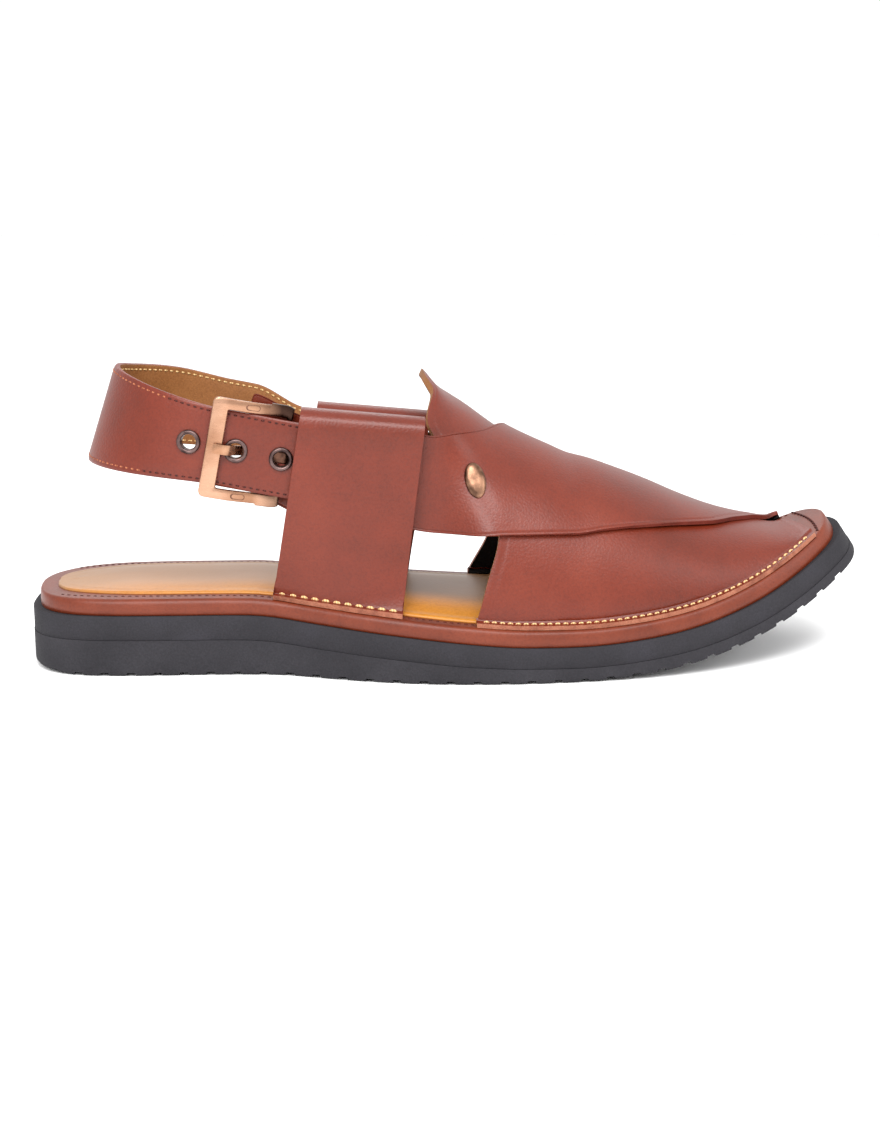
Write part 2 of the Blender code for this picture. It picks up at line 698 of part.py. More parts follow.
def eyelet_place(index):
    """Origin on the strap's outer face, its third axis pointing outward."""
    along = strap_along(EYELET_FIRST + index * EYELET_PITCH, -1)
    centre = strap_point(along, 0.0, 0.0)
    step = 0.002
    right = (strap_point(along - step, 0.0, 0.0) - strap_point(along + step, 0.0, 0.0)).normalized()
    rise = (strap_point(along, 0.5, 0.0) - strap_point(along, -0.5, 0.0)).normalized()
    out = right.cross(rise).normalized()
    rise = out.cross(right)
    return Matrix.Translation(centre) @ Matrix((
        (right.x, rise.x, out.x, 0.0), (right.y, rise.y, out.y, 0.0), (right.z, rise.z, out.z, 0.0),
        (0.0, 0.0, 0.0, 1.0)))


def turned(name, profile, frame, finish, steps=20):
    """A solid turned about the third axis of a frame, from (radius, height) pairs."""
    closed = profile[0][0] > 0.0
    verts, rings = [], []
    for radius, height in profile:
        if radius == 0.0:
            rings.append([len(verts)] * steps)
            verts.append(frame @ Vector((0.0, 0.0, height)))
            continue
        rings.append([len(verts) + k for k in range(steps)])
        for k in range(steps):
            turn = 2 * pi * k / steps
            verts.append(frame @ Vector((radius * cos(turn), radius * sin(turn), height)))
    pairs = list(zip(rings, rings[1:]))
    if closed:
        pairs.append((rings[-1], rings[0]))
    faces = []
    for a, b in pairs:
        for k in range(steps):
            m = (k + 1) % steps
            face = [a[k], a[m], b[m], b[k]]
            clean = [v for i, v in enumerate(face) if v != face[i - 1]]
            faces.append(tuple(clean))
    return solid(name, verts, faces, finish)


def build_eyelets(finish):
    barrel = EYELET_HOLE + EYELET_WALL
    for i in range(EYELET_COUNT):
        profile = [
            (EYELET_HOLE, 0.6 * EYELET_RIM + GAP), (EYELET_HOLE + 0.0004, EYELET_RIM + GAP),
            (EYELET_RADIUS - 0.0006, EYELET_RIM + GAP), (EYELET_RADIUS, 0.4 * EYELET_RIM + GAP),
            (EYELET_RADIUS, GAP), (barrel, GAP), (barrel, -STRAP), (EYELET_HOLE, -STRAP),
        ]
        turned("eyelet_%d" % (i + 1), profile, eyelet_place(i), finish)


def buckle_point(run, rise, out):
    """From the middle of the front bar: along the strap, up it and outward of its outer face."""
    middle, forward, up = strap_frame()
    start = (BUCKLE_STATION - HEEL_SEAT - middle.x) / forward.x
    return middle + forward * (start + run) + up * rise + Vector((0.0, -strap_half() - out, 0.0))


def build_buckle_frame(finish):
    """One ring: front bar over the strap, two bars past its edges and a round hinge bar behind it."""
    half = 0.5 * STRAP_WIDTH + BUCKLE_SLACK
    wide = half + BAR
    front = 0.5 * BAR_FRONT
    hinge = BUCKLE_RUN
    block = hinge - 0.0068
    rows = [
        (front, 0.55 * half, -front, 0.55 * half), (front, half - 0.0006, -front, wide - 0.0018),
        (front + 0.0002, half - 0.0002, -front + 0.0005, wide - 0.0005), (front + 0.0006, half, -front + 0.0018, wide),
        (0.45 * hinge, half, 0.45 * hinge, wide), (block - 0.0007, half, block - 0.0007, wide),
        (block, half, block, wide + BLOCK), (hinge - 0.0024, half, hinge - 0.0010, wide + BLOCK),
        (hinge - HINGE_RADIUS, half - 0.0004, hinge + HINGE_RADIUS, wide),
        (hinge - HINGE_RADIUS, half - 0.0012, hinge + HINGE_RADIUS, half - 0.0012),
        (hinge - HINGE_RADIUS, 0.5 * half, hinge + HINGE_RADIUS, 0.5 * half),
    ]
    rows += [(a, -b, c, -d) for a, b, c, d in reversed(rows)]
    sections = []
    for in_run, in_rise, out_run, out_rise in rows:
        centre = 0.5 * (in_run + out_run)
        fall = ease((centre - front) / (hinge - front))
        level = mix(GAP + 0.5 * BAR_DEPTH, -HINGE_DEPTH, fall)
        deep = 0.5 * mix(BAR_DEPTH, 2 * HINGE_RADIUS, ease((centre - block) / (hinge - block)))
        ring = []
        for across, depth in ((0.0, -0.42), (0.29, -1.0), (0.71, -1.0), (1.0, -0.42),
                              (1.0, 0.42), (0.71, 1.0), (0.29, 1.0), (0.0, 0.42)):
            ring.append(buckle_point(mix(in_run, out_run, across), mix(in_rise, out_rise, across),
                                     level + depth * deep))
        sections.append(ring)
    count = len(sections[0])
    verts = [v for ring in sections for v in ring]
    faces = []
    for i in range(len(sections)):
        n = (i + 1) % len(sections)
        for j in range(count):
            k = (j + 1) % count
            faces.append((i * count + j, i * count + k, n * count + k, n * count + j))
    return solid("buckle_frame", verts, faces, finish, 35.0)


def around_hinge(radius, turn):
    """A point round the hinge bar as (run, out); a turn of 0 faces the strap and 90 the toe."""
    return BUCKLE_RUN + radius * sin(radians(turn)), -HINGE_DEPTH + radius * cos(radians(turn))


def ribbon(name, path, width, finish):
    """A flat strip of constant width along a path of (run, out, thickness)."""
    sections = []
    for i, (run, out, thick) in enumerate(path):
        before = path[max(i - 1, 0)]
        after = path[min(i + 1, len(path) - 1)]
        along = Vector((after[0] - before[0], after[1] - before[1])).normalized()
        side = Vector((-along.y, along.x)) * 0.5 * thick
        half, soft = 0.5 * width, 0.22 * width
        ring = []
        for rise, across in ((-half, -0.5), (-half + soft, -1.0), (half - soft, -1.0), (half, -0.5),
                             (half, 0.5), (half - soft, 1.0), (-half + soft, 1.0), (-half, 0.5)):
            ring.append(buckle_point(run + side.x * across, rise, out + side.y * across))
        sections.append(ring)
    return loft(name, sections, finish, 35.0)


def build_prong(finish):
    """Hooked round the hinge bar, up through the middle eyelet and down on the front bar."""
    eye = HINGE_RADIUS + PRONG_PLAY + 0.5 * PRONG_EYE
    path = [(*around_hinge(eye, turn), PRONG_EYE) for turn in (235, 205, 175, 145, 115, 85, 55, 27, 0)]
    under = -STRAP - GAP - 0.5 * PRONG_DEPTH
    hole = EYELET_FIRST + EYELET_PITCH - BUCKLE_STATION
    rest = GAP + BAR_DEPTH + 0.0002 + 0.5 * PRONG_DEPTH
    path += [
        (0.80 * BUCKLE_RUN, mix(path[-1][1], under, 0.4), mix(PRONG_EYE, PRONG_DEPTH, 0.5)),
        (0.64 * BUCKLE_RUN, under, PRONG_DEPTH), (hole + 0.0046, under, PRONG_DEPTH),
        (hole + 0.0030, under + 0.0001, PRONG_DEPTH), (hole + 0.0018, -0.0027, PRONG_DEPTH),
        (hole + 0.0009, -0.0017, PRONG_DEPTH), (hole, -0.0006, PRONG_DEPTH), (hole - 0.0010, 0.0006, PRONG_DEPTH),
        (hole - 0.0018, 0.0016, PRONG_DEPTH), (hole - 0.0028, 0.0026, PRONG_DEPTH),
        (hole - 0.0040, rest - 0.0001, PRONG_DEPTH), (0.0016, rest + 0.0001, PRONG_DEPTH),
        (0.0006, rest, PRONG_DEPTH), (-0.0002, rest - 0.0001, 0.75 * PRONG_DEPTH),
    ]
    return ribbon("buckle_prong", path, PRONG, finish)


def build_chape(finish):
    """A strip folded round the hinge bar, with a slot for the prong."""
    inner = HINGE_RADIUS + CHAPE_PLAY
    outer = inner + CHAPE
    end = BUCKLE_RUN + CHAPE_RUN
    top = -STRAP - GAP
    turns = (-20, -50, -80, -110, -140, -170, -200)
    outside = [(end, top), (BUCKLE_RUN + 0.0030, top), (BUCKLE_RUN + 0.0005, around_hinge(outer, 0)[1])]
    outside += [around_hinge(outer, turn) for turn in turns]
    outside += [(BUCKLE_RUN + 0.0036, top - 2 * CHAPE - GAP), (end, top - 2 * CHAPE - GAP)]
    inside = [(end, top - CHAPE - GAP), (BUCKLE_RUN + 0.0034, top - CHAPE - GAP)]
    inside += [around_hinge(inner, turn) for turn in reversed(turns)]
    inside += [(BUCKLE_RUN + 0.0003, around_hinge(inner, 0)[1]), (BUCKLE_RUN + 0.0030, top - CHAPE),
               (end, top - CHAPE)]
    profile = outside + inside
    sections = [[buckle_point(run, rise, out) for run, out in profile]
                for rise in (-0.5 * CHAPE_WIDTH, 0.5 * CHAPE_WIDTH)]
    chape = loft("buckle_chape", sections, finish)
    room = 0.5 * PRONG + GAP
    slot = loft("prong_slot", [[buckle_point(run, rise, out) for run, out in (
        (BUCKLE_RUN - 0.004, 0.0), (BUCKLE_RUN + 0.0027, 0.0), (BUCKLE_RUN + 0.0027, -0.010),
        (BUCKLE_RUN - 0.004, -0.010))] for rise in (-room, room)], finish)
    cut(chape, slot)
    return chape


def build_stud(finish):
    """A plain oval dome that follows the outer band."""
    station = STUD_STATION * SOLE_LENGTH
    step, degree = 0.001, 1.0
    along = (last_point(station + step, STUD_ANGLE) - last_point(station - step, STUD_ANGLE)).length / (2 * step)
    across = (last_point(station, STUD_ANGLE + degree) - last_point(station, STUD_ANGLE - degree)).length / 2

    def spot(share, turn, height):
        s = station + share * STUD_SHORT * cos(turn) / along
        a = STUD_ANGLE + share * STUD_LONG * sin(turn) / across
        return outer_band_point(s, a, -1.7 * GAP - height)

    steps = 16
    rings = ((0.5, 0.0), (1.0, 0.0), (1.0, 0.35), (0.90, 0.68), (0.66, 0.90), (0.34, 1.0))
    sections = [[spot(share, 2 * pi * k / steps, height * STUD_HEIGHT) for k in range(steps)]
                for share, height in rings]
    return loft("stud", sections, finish)


def clear_scene():
    for old in list(bpy.data.objects):
        bpy.data.objects.remove(old, do_unlink=True)


def build():
    clear_scene()
    leather = material("chestnut_leather", (0.27, 0.055, 0.025), 0.42)
    sock = material("tan_leather", (0.55, 0.27, 0.08), 0.45)
    rubber = material("black_rubber", (0.045, 0.043, 0.048), 0.85)
    foam = material("black_foam_rubber", (0.055, 0.053, 0.058), 0.8)
    brass = material("antique_brass", (0.66, 0.36, 0.20), 0.3, 1.0)
    dark = material("dark_eyelet_metal", (0.16, 0.11, 0.11), 0.4, 1.0)
    build_outsole(rubber)
    build_midsole(foam)
    build_footbed(leather)
    build_insole(sock)
    build_band("cross_band_inner", INNER_BAND_ROWS, 1, inner_band_point, leather)
    build_band("cross_band_outer", OUTER_BAND_ROWS, -1, outer_band_point, leather)
    build_loop("side_loop_lateral", -1, leather)
    build_loop("side_loop_medial", 1, leather)
    build_strap(leather)
    build_eyelets(dark)
    build_buckle_frame(brass)
    build_prong(brass)
    build_chape(leather)
    build_stud(brass)


build()
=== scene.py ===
import bpy
import bmesh
from math import cos, pi, radians, sin, sqrt
from mathutils import Matrix, Vector


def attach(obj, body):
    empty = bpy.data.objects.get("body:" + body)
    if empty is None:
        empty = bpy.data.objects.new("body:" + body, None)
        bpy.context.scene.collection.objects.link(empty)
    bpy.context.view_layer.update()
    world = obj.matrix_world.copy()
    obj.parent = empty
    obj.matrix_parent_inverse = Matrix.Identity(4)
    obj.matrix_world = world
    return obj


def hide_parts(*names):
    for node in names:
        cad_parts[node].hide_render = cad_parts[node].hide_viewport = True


# Peshawari chappal for the right foot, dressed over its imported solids.
# +X is the toe, +Y the inner side of the foot and +Z up, all in metres.
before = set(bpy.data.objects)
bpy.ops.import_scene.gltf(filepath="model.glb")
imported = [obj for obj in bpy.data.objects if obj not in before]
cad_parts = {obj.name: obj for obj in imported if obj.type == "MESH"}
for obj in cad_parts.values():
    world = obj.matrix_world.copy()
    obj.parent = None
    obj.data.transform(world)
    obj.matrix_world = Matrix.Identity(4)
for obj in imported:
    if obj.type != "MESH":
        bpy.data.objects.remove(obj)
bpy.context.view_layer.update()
print("frame loaded")

# Helpers for nodes and colours


def linear(hexColour):
    # sRGB hex to the linear values that the shader takes
    parts = [int(hexColour[i:i + 2], 16) / 255 for i in (1, 3, 5)]
    return tuple(p / 12.92 if p <= 0.04045 else ((p + 0.055) / 1.055) ** 2.4 for p in parts) + (1.0,)


def socketOf(node, key):
    # an input by its name, or by its number as i0, i1...
    if key[0] == "i" and key[1:].isdigit():
        return node.inputs[int(key[1:])]
    return node.inputs.get(key.replace("_", " "))


def feed(tree, node, **links):
    # what flows into a node; a whole node stands for its first output
    for key, source in links.items():
        output = source if isinstance(source, bpy.types.NodeSocket) else source.outputs[0]
        tree.links.new(output, socketOf(node, key))


def addNode(tree, kind, settings=None, **links):
    # one shader node, its settings and what feeds it
    node = tree.nodes.new("ShaderNode" + kind)
    for key, value in (settings or {}).items():
        socket = socketOf(node, key)
        if key == "stops":  # colours along a ramp, as (place, hex)
            marks = node.color_ramp.elements
            for _ in value[2:]:
                marks.new(1.0)
            for mark, (at, hexColour) in zip(marks, value):
                mark.position, mark.color = at, linear(hexColour)
        elif socket:
            socket.default_value = value
        else:
            setattr(node, key, value)
    feed(tree, node, **links)
    return node


def newFinish(name, hexColour, roughness, **sockets):
    made = bpy.data.materials.new(name)
    made.use_nodes = True
    tree = made.node_tree
    shader = tree.nodes["Principled BSDF"]
    shader.inputs["Base Color"].default_value = linear(hexColour)
    shader.inputs["Roughness"].default_value = roughness
    for key, value in sockets.items():
        shader.inputs[key.replace("_", " ")].default_value = value
    place = addNode(tree, "TexCoord").outputs["Object"]
    return made, tree, shader, place


def leatherFinish(name, look):
    # grained cowhide: mottled dye, fine pebble grain and a waxed top coat that gives soft streaks of light
    look = {"coat": 0.0, "coatRoughness": 0.5, **look}
    made, tree, shader, place = newFinish(name, look["colour"], look["roughness"], IOR=1.5, Specular_IOR_Level=0.32,
                                          Coat_Weight=look["coat"], Coat_Roughness=look["coatRoughness"])
    grainScale = 1000 / look["grainMm"]
    mottle = addNode(tree, "TexNoise", {"Scale": 1000 / look["mottleMm"], "Detail": 5.0, "Roughness": 0.6},
                     Vector=place)
    fine = addNode(tree, "TexNoise", {"Scale": grainScale, "Detail": 3.0, "Roughness": 0.65}, Vector=place)
    dyes = ((0.30, look["dark"]), (0.50, look["colour"]), (0.74, look["light"]))
    dye = addNode(tree, "ValToRGB", {"stops": dyes}, i0=mottle)
    pores = addNode(tree, "ValToRGB", {"stops": ((0.32, "#B9A9A4"), (0.55, "#FFFFFF"))}, i0=fine)
    shown = addNode(tree, "Mix", {"data_type": "RGBA", "blend_type": "MULTIPLY", "i0": 0.35}, i6=dye,
                    i7=pores).outputs[2]
    if "shadeGlareSpan" in look:  # painted shade and grey glare: the insole turns darker and greyer from its near border toward its far side
        across = addNode(tree, "SeparateXYZ", i0=place)
        edge, full = look["shadeGlareSpan"]
        darkerPart = addNode(tree, "MapRange", {"interpolation_type": "SMOOTHSTEP", "i1": edge, "i2": full, "i4": 0.8},
                       i0=across.outputs["Y"])
        shadeGlareMix = addNode(tree, "Mix", {"data_type": "RGBA", "i7": linear(look["shadeGlareColour"])}, i0=darkerPart, i6=shown)
        shown = shadeGlareMix.outputs[2]
    gloss = addNode(tree, "MapRange", {"i3": look["roughness"] - 0.07, "i4": look["roughness"] + 0.10}, i0=mottle)
    pebble = addNode(tree, "TexVoronoi", {"feature": "SMOOTH_F1", "Scale": grainScale, "Smoothness": 0.6},
                     Vector=place)
    height = addNode(tree, "Math", {"operation": "ADD"}, i0=pebble, i1=fine)
    grain = addNode(tree, "Bump", {"Strength": look["grainDepth"], "Distance": 0.00025}, Height=height)
    wave = addNode(tree, "TexNoise", {"Scale": 1000 / look["waveMm"], "Detail": 1.5}, Vector=place)
    hide = addNode(tree, "Bump", {"Strength": look["waveDepth"], "Distance": 0.0012}, Height=wave, Normal=grain)
    feed(tree, shader, Base_Color=shown, Roughness=gloss, Normal=hide)
    return made


def rubberFinish(name, look):
    # blown rubber from a mould: matte, a fine pitted skin and grey rubbed specks
    made, tree, shader, place = newFinish(name, look["colour"], look["roughness"], IOR=1.52, Specular_IOR_Level=0.35)
    pits = addNode(tree, "TexNoise", {"Scale": 1000 / look["pitMm"], "Detail": 4.0, "Roughness": 0.7}, Vector=place)
    cloud = addNode(tree, "TexNoise", {"Scale": 1000 / look["cloudMm"], "Detail": 4.0}, Vector=place)
    tones = ((0.32, look["dark"]), (0.55, look["colour"]), (0.78, look["light"]))
    tone = addNode(tree, "ValToRGB", {"stops": tones}, i0=cloud)
    specks = addNode(tree, "ValToRGB", {"stops": ((0.35, "#505050"), (0.68, "#A8A8A8"))}, i0=pits)
    dust = addNode(tree, "Mix", {"data_type": "RGBA", "blend_type": "SOFT_LIGHT", "i0": 0.5}, i6=tone, i7=specks)
    skin = addNode(tree, "Bump", {"Strength": look["pitDepth"], "Distance": 0.0003}, Height=pits)
    feed(tree, shader, Base_Color=dust.outputs[2], Normal=skin)
    return made


def metalFinish(name, look):
    # plated zinc casting, brushed and toned: fine scratches one way and darker colour in the low places; a look may
    # add painted shade along one stretch of X
    look = {"brushMm": (1.1, 1.1, 1.1), "brushDepth": 0.1, **look}
    made, tree, shader, place = newFinish(name, look["colour"], look["roughness"], Metallic=1.0)
    stretch = addNode(tree, "Mapping", {"Scale": [1000 / mm for mm in look["brushMm"]]}, Vector=place)
    lines = addNode(tree, "TexNoise", {"Scale": 1.0, "Detail": 3.0, "Roughness": 0.6}, Vector=stretch)
    tone = addNode(tree, "TexNoise", {"Scale": 1000 / look["toneMm"], "Detail": 3.0}, Vector=place)
    shown = addNode(tree, "ValToRGB", {"stops": ((0.35, look["dark"]), (0.60, look["colour"]))}, i0=tone)
    if "hingeShadeSpan" in look:  # painted shade: one stretch along X, where the frame sinks behind the strap to its hinge bar, is mixed toward a dark colour
        along = addNode(tree, "SeparateXYZ", i0=place)
        start, full = look["hingeShadeSpan"]
        near = addNode(tree, "MapRange", {"i1": start, "i2": full}, i0=along.outputs["X"])
        hingeShadeMix = addNode(tree, "Mix", {"data_type": "RGBA", "i7": linear(look["hingeShadeColour"])}, i0=near, i6=shown)
        shown = hingeShadeMix.outputs[2]
    gloss = addNode(tree, "MapRange", {"i3": look["roughness"] - 0.08, "i4": look["roughness"] + 0.12}, i0=lines)
    fine = addNode(tree, "Bump", {"Strength": look["brushDepth"], "Distance": 0.0001}, Height=lines)
    feed(tree, shader, Base_Color=shown, Roughness=gloss, Normal=fine)
    return made


threadTwist = {"strandMm": 1.0, "depth": 0.5, "roughness": 0.55}


def threadFinish(name, hexColour, darkHex):
    # waxed bonded thread: satin, with the twist of its strands; a real strand turns every 0.5 mm,
    # and it is drawn 1 mm wide so that it shows
    made, tree, shader, place = newFinish(name, hexColour, threadTwist["roughness"], Specular_IOR_Level=0.25)
    scale = 314.0 / threadTwist["strandMm"]  # a wave of this texture is 0.314 m long at scale 1
    twist = addNode(tree, "TexWave", {"Scale": scale, "Distortion": 1.0}, Vector=place).outputs["Fac"]
    shade = addNode(tree, "ValToRGB", {"stops": ((0.1, darkHex), (0.7, hexColour))}, i0=twist)
    strand = addNode(tree, "Bump", {"Strength": threadTwist["depth"], "Distance": 0.0002}, Height=twist)
    feed(tree, shader, Base_Color=shade, Normal=strand)
    return made


# Dyed cowhide of the bands, loops, strap and rand: chestnut with a warm red, waxed to a satin
chestnut = leatherFinish("chestnutCowhide", {
    "colour": "#68220E", "dark": "#5C1D0A", "light": "#712914", "roughness": 0.38, "coat": 0.20,
    "coatRoughness": 0.30,
    "mottleMm": 35.0, "grainMm": 0.85, "grainDepth": 0.32, "waveMm": 20.0, "waveDepth": 0.08})
# The same hide stretched round the board: a little darker and plainer
randHide = leatherFinish("chestnutRandLeather", {
    "colour": "#692912", "dark": "#59200C", "light": "#75321B", "roughness": 0.42, "coat": 0.10, "coatRoughness": 0.3,
    "mottleMm": 20.0, "grainMm": 0.8, "grainDepth": 0.20, "waveMm": 12.0, "waveDepth": 0.10})
# Vegetable tanned insole: yellow tan, smooth, and a wide soft shine
insoleHide = leatherFinish("tanInsoleLeather", {
    "colour": "#BC7826", "dark": "#B06D1C", "light": "#C48332", "roughness": 0.38, "coat": 0.12,
    "coatRoughness": 0.28,
    # painted shade and grey glare on the far part of the insole, in this colour
    "shadeGlareSpan": (-0.028, -0.009), "shadeGlareColour": "#8C6A4C",
    "mottleMm": 45.0, "grainMm": 1.1, "grainDepth": 0.10, "waveMm": 30.0, "waveDepth": 0.06})
# Undyed lining split: light brown, matte, with an open nap
liningHide = leatherFinish("tanLiningLeather", {
    "colour": "#85552B", "dark": "#764922", "light": "#946338", "roughness": 0.62,
    "mottleMm": 25.0, "grainMm": 0.7, "grainDepth": 0.30, "waveMm": 10.0, "waveDepth": 0.08})
# Painted shade: near-black leather on the inner face of the outer band, for the dark inside of the toe box
toeShadeLining = leatherFinish("toeShadeLiningLeather", {
    "colour": "#16110F", "dark": "#0E0A09", "light": "#1F1917", "roughness": 0.75,
    "mottleMm": 25.0, "grainMm": 0.7, "grainDepth": 0.25, "waveMm": 10.0, "waveDepth": 0.08})
# Cut edge of the hide, bare fibres that took little dye
rawEdge = leatherFinish("cutEdgeLeather", {
    "colour": "#8E5540", "dark": "#6A3828", "light": "#A56C54", "roughness": 0.72,
    "mottleMm": 6.0, "grainMm": 0.6, "grainDepth": 0.6, "waveMm": 4.0, "waveDepth": 0.3})
# Painted edge, nearly the colour of the face but flatter and darker
paintedEdge = leatherFinish("paintedEdgeLeather", {
    "colour": "#6E2A1E", "dark": "#552015", "light": "#80382A", "roughness": 0.5, "coat": 0.1, "coatRoughness": 0.4,
    "mottleMm": 10.0, "grainMm": 0.7, "grainDepth": 0.25, "waveMm": 8.0, "waveDepth": 0.1})
# Thin pared edge of the upper band, where the pale fibres show through the dye
skivedEdge = leatherFinish("paredEdgeLeather", {
    "colour": "#A8705C", "dark": "#8E5645", "light": "#B98370", "roughness": 0.6,
    "mottleMm": 8.0, "grainMm": 0.7, "grainDepth": 0.3, "waveMm": 6.0, "waveDepth": 0.1})
# Moulded tread rubber: matte grey-black, no shine even at the edges
outsoleRubber = rubberFinish("blackTreadRubber", {
    "colour": "#2F2D32", "dark": "#29272C", "light": "#37353A", "roughness": 0.86, "pitMm": 0.7, "cloudMm": 18.0,
    "pitDepth": 0.55})
midsoleRubber = rubberFinish("blackFoamRubber", {
    "colour": "#2E2C31", "dark": "#28262B", "light": "#35333A", "roughness": 0.88, "pitMm": 0.6, "cloudMm": 22.0,
    "pitDepth": 0.5})
# Copper plate on a zinc casting, brushed along the bars: a broad warm sheen, and painted shade at the hinge end,
# where the frame goes behind the strap
buckleMetal = metalFinish("brushedCopperPlate", {
    "colour": "#C0957B", "dark": "#A1765C", "roughness": 0.27, "toneMm": 14.0, "brushMm": (3.3, 3.3, 0.25),
    "brushDepth": 0.12,
    # painted shade at the hinge end, in this stretch and colour
    "hingeShadeSpan": (0.0460, 0.0550), "hingeShadeColour": "#3E2C25"})
# The prong is rubbed bright by use
prongMetal = metalFinish("polishedCopperPlate", {
    "colour": "#C2977A", "dark": "#A3775C", "roughness": 0.25, "toneMm": 10.0})
# Antique copper casting: brown in the low places, a small bright spot on the dome
studMetal = metalFinish("antiqueCopperCasting", {
    "colour": "#9A735C", "dark": "#5E4436", "roughness": 0.32, "toneMm": 4.0})
# Blackened brass eyelets: dark, with light only on the rolled rim
eyeletMetal = metalFinish("antiqueEyeletPlate", {
    "colour": "#6E5A57", "dark": "#3E3130", "roughness": 0.36, "toneMm": 4.0})
# The same copper where the toning was left in, nearly brown; also painted shade on the prong's length under the strap
engravingAndShadeMetal = metalFinish("darkenedCopperPlate", {
    "colour": "#7E5A4A", "dark": "#4B342C", "roughness": 0.45, "toneMm": 3.0})
# Four colours of one waxed polyester thread
tanThread = threadFinish("tanWaxedThread", "#E6C08C", "#B98F5E")
creamThread = threadFinish("creamWaxedThread", "#DDBB86", "#A98553")
brownThread = threadFinish("brownWaxedThread", "#4A1A12", "#2C0E0A")
russetThread = threadFinish("russetWaxedThread", "#A86444", "#7A4028")
print("finishes made")

# The shoe's own surfaces, as in the solids

# lengths in metres; toeSpring, tail and the strap's slope and lean are in degrees, toeClose in shares of the length
sole = {"length": 0.308, "ball": 0.0965, "heelSeat": 0.036, "heelStack": 0.0212, "toeSpring": 34.0,
        "heelBevel": 0.0018, "bevelRun": 0.022, "board": 0.0056, "randSide": 0.0009, "randEnd": 0.0028,
        "gap": 0.0003, "steps": 96, "mostInset": 0.16, "mostReach": 0.47}
band = {"thick": 0.0016, "between": 0.0007, "toeGap": 0.0001, "toeClose": (0.80, 0.12), "flange": 0.0030,
        "flangeIn": 0.0017, "instep": 0.0776, "blend": 0.024, "tail": (55.0, 50.0), "loopLead": 0.001,
        "tabIn": 0.0050, "tabBend": 0.0140, "tabLead": 0.004}
loop = {"half": 0.0360, "topRear": 0.0932, "fall": 0.0038, "medialDrop": 0.0054, "rear": 0.0865, "width": 0.0445,
        "taper": 0.0025, "lean": 0.0110, "medialShift": 0.0045, "leather": 0.0020, "lining": 0.0015,
        "tunnel": 0.0100, "tunnelFoot": 0.0006}
strap = {"thick": 0.0022, "width": 0.0262, "heelWidth": 0.0348, "slide": 0.0012, "slope": 11.3, "lean": 7.0,
         "back": 0.0262, "arc": 0.0400, "height": 0.0887, "rise": 0.0026, "drop": 0.0054, "end": 0.1270,
         "steps": 180, "seam": 0.895, "seamEnd": 0.122, "press": 0.0002}

# station, slope, both rubber layers, tread layer
soleRows = (
    (0.000, 0.00, 1.000, 0.60), (0.250, 0.00, 0.990, 0.59), (0.320, 0.00, 0.895, 0.56), (0.440, 0.00, 0.735, 0.49),
    (0.500, 0.00, 0.650, 0.44), (0.560, 0.00, 0.585, 0.42), (0.600, 0.012, 0.573, 0.41), (0.635, 0.055, 0.565, 0.40),
    (0.700, 0.195, 0.570, 0.40), (0.760, 0.375, 0.560, 0.39), (0.820, 0.60, 0.545, 0.38), (0.880, 0.82, 0.520, 0.37),
    (0.940, 0.95, 0.500, 0.36), (1.000, 1.00, 0.490, 0.36))
# station and distance from the middle line, once round the rubber
outlineRows = (
    (0.000, -0.020), (0.003, -0.135), (0.018, -0.232), (0.048, -0.297), (0.095, -0.326), (0.155, -0.332),
    (0.230, -0.333), (0.290, -0.350), (0.340, -0.402), (0.395, -0.457), (0.460, -0.497), (0.535, -0.513),
    (0.615, -0.502), (0.695, -0.472), (0.765, -0.430), (0.830, -0.376), (0.890, -0.312), (0.942, -0.234),
    (0.980, -0.145), (0.996, -0.040), (1.000, 0.070), (0.994, 0.175), (0.973, 0.268), (0.935, 0.345),
    (0.880, 0.410), (0.810, 0.458), (0.735, 0.484), (0.655, 0.480), (0.570, 0.450), (0.485, 0.412),
    (0.400, 0.378), (0.310, 0.355), (0.220, 0.345), (0.140, 0.340), (0.085, 0.322), (0.042, 0.270),
    (0.014, 0.180), (0.002, 0.085))
# station, ridge height, ridge side, fullness outer and inner
lastRows = (
    (0.240, 1.115, 0.060, 2.00, 2.00), (0.320, 1.105, 0.060, 2.00, 2.00), (0.390, 1.060, 0.065, 2.00, 2.00),
    (0.448, 0.982, 0.075, 2.00, 2.00), (0.497, 0.889, 0.080, 2.00, 2.00), (0.545, 0.775, 0.083, 2.05, 2.00),
    (0.600, 0.678, 0.087, 2.10, 2.00), (0.630, 0.633, 0.090, 2.10, 2.00), (0.660, 0.604, 0.092, 2.10, 2.00),
    (0.700, 0.552, 0.095, 2.10, 2.00),
    (0.760, 0.460, 0.100, 2.05, 2.00), (0.850, 0.264, 0.110, 2.00, 2.00), (0.905, 0.116, 0.115, 2.00, 2.00),
    (0.935, 0.030, 0.115, 2.00, 2.00), (0.960, 0.003, 0.115, 2.00, 2.00))
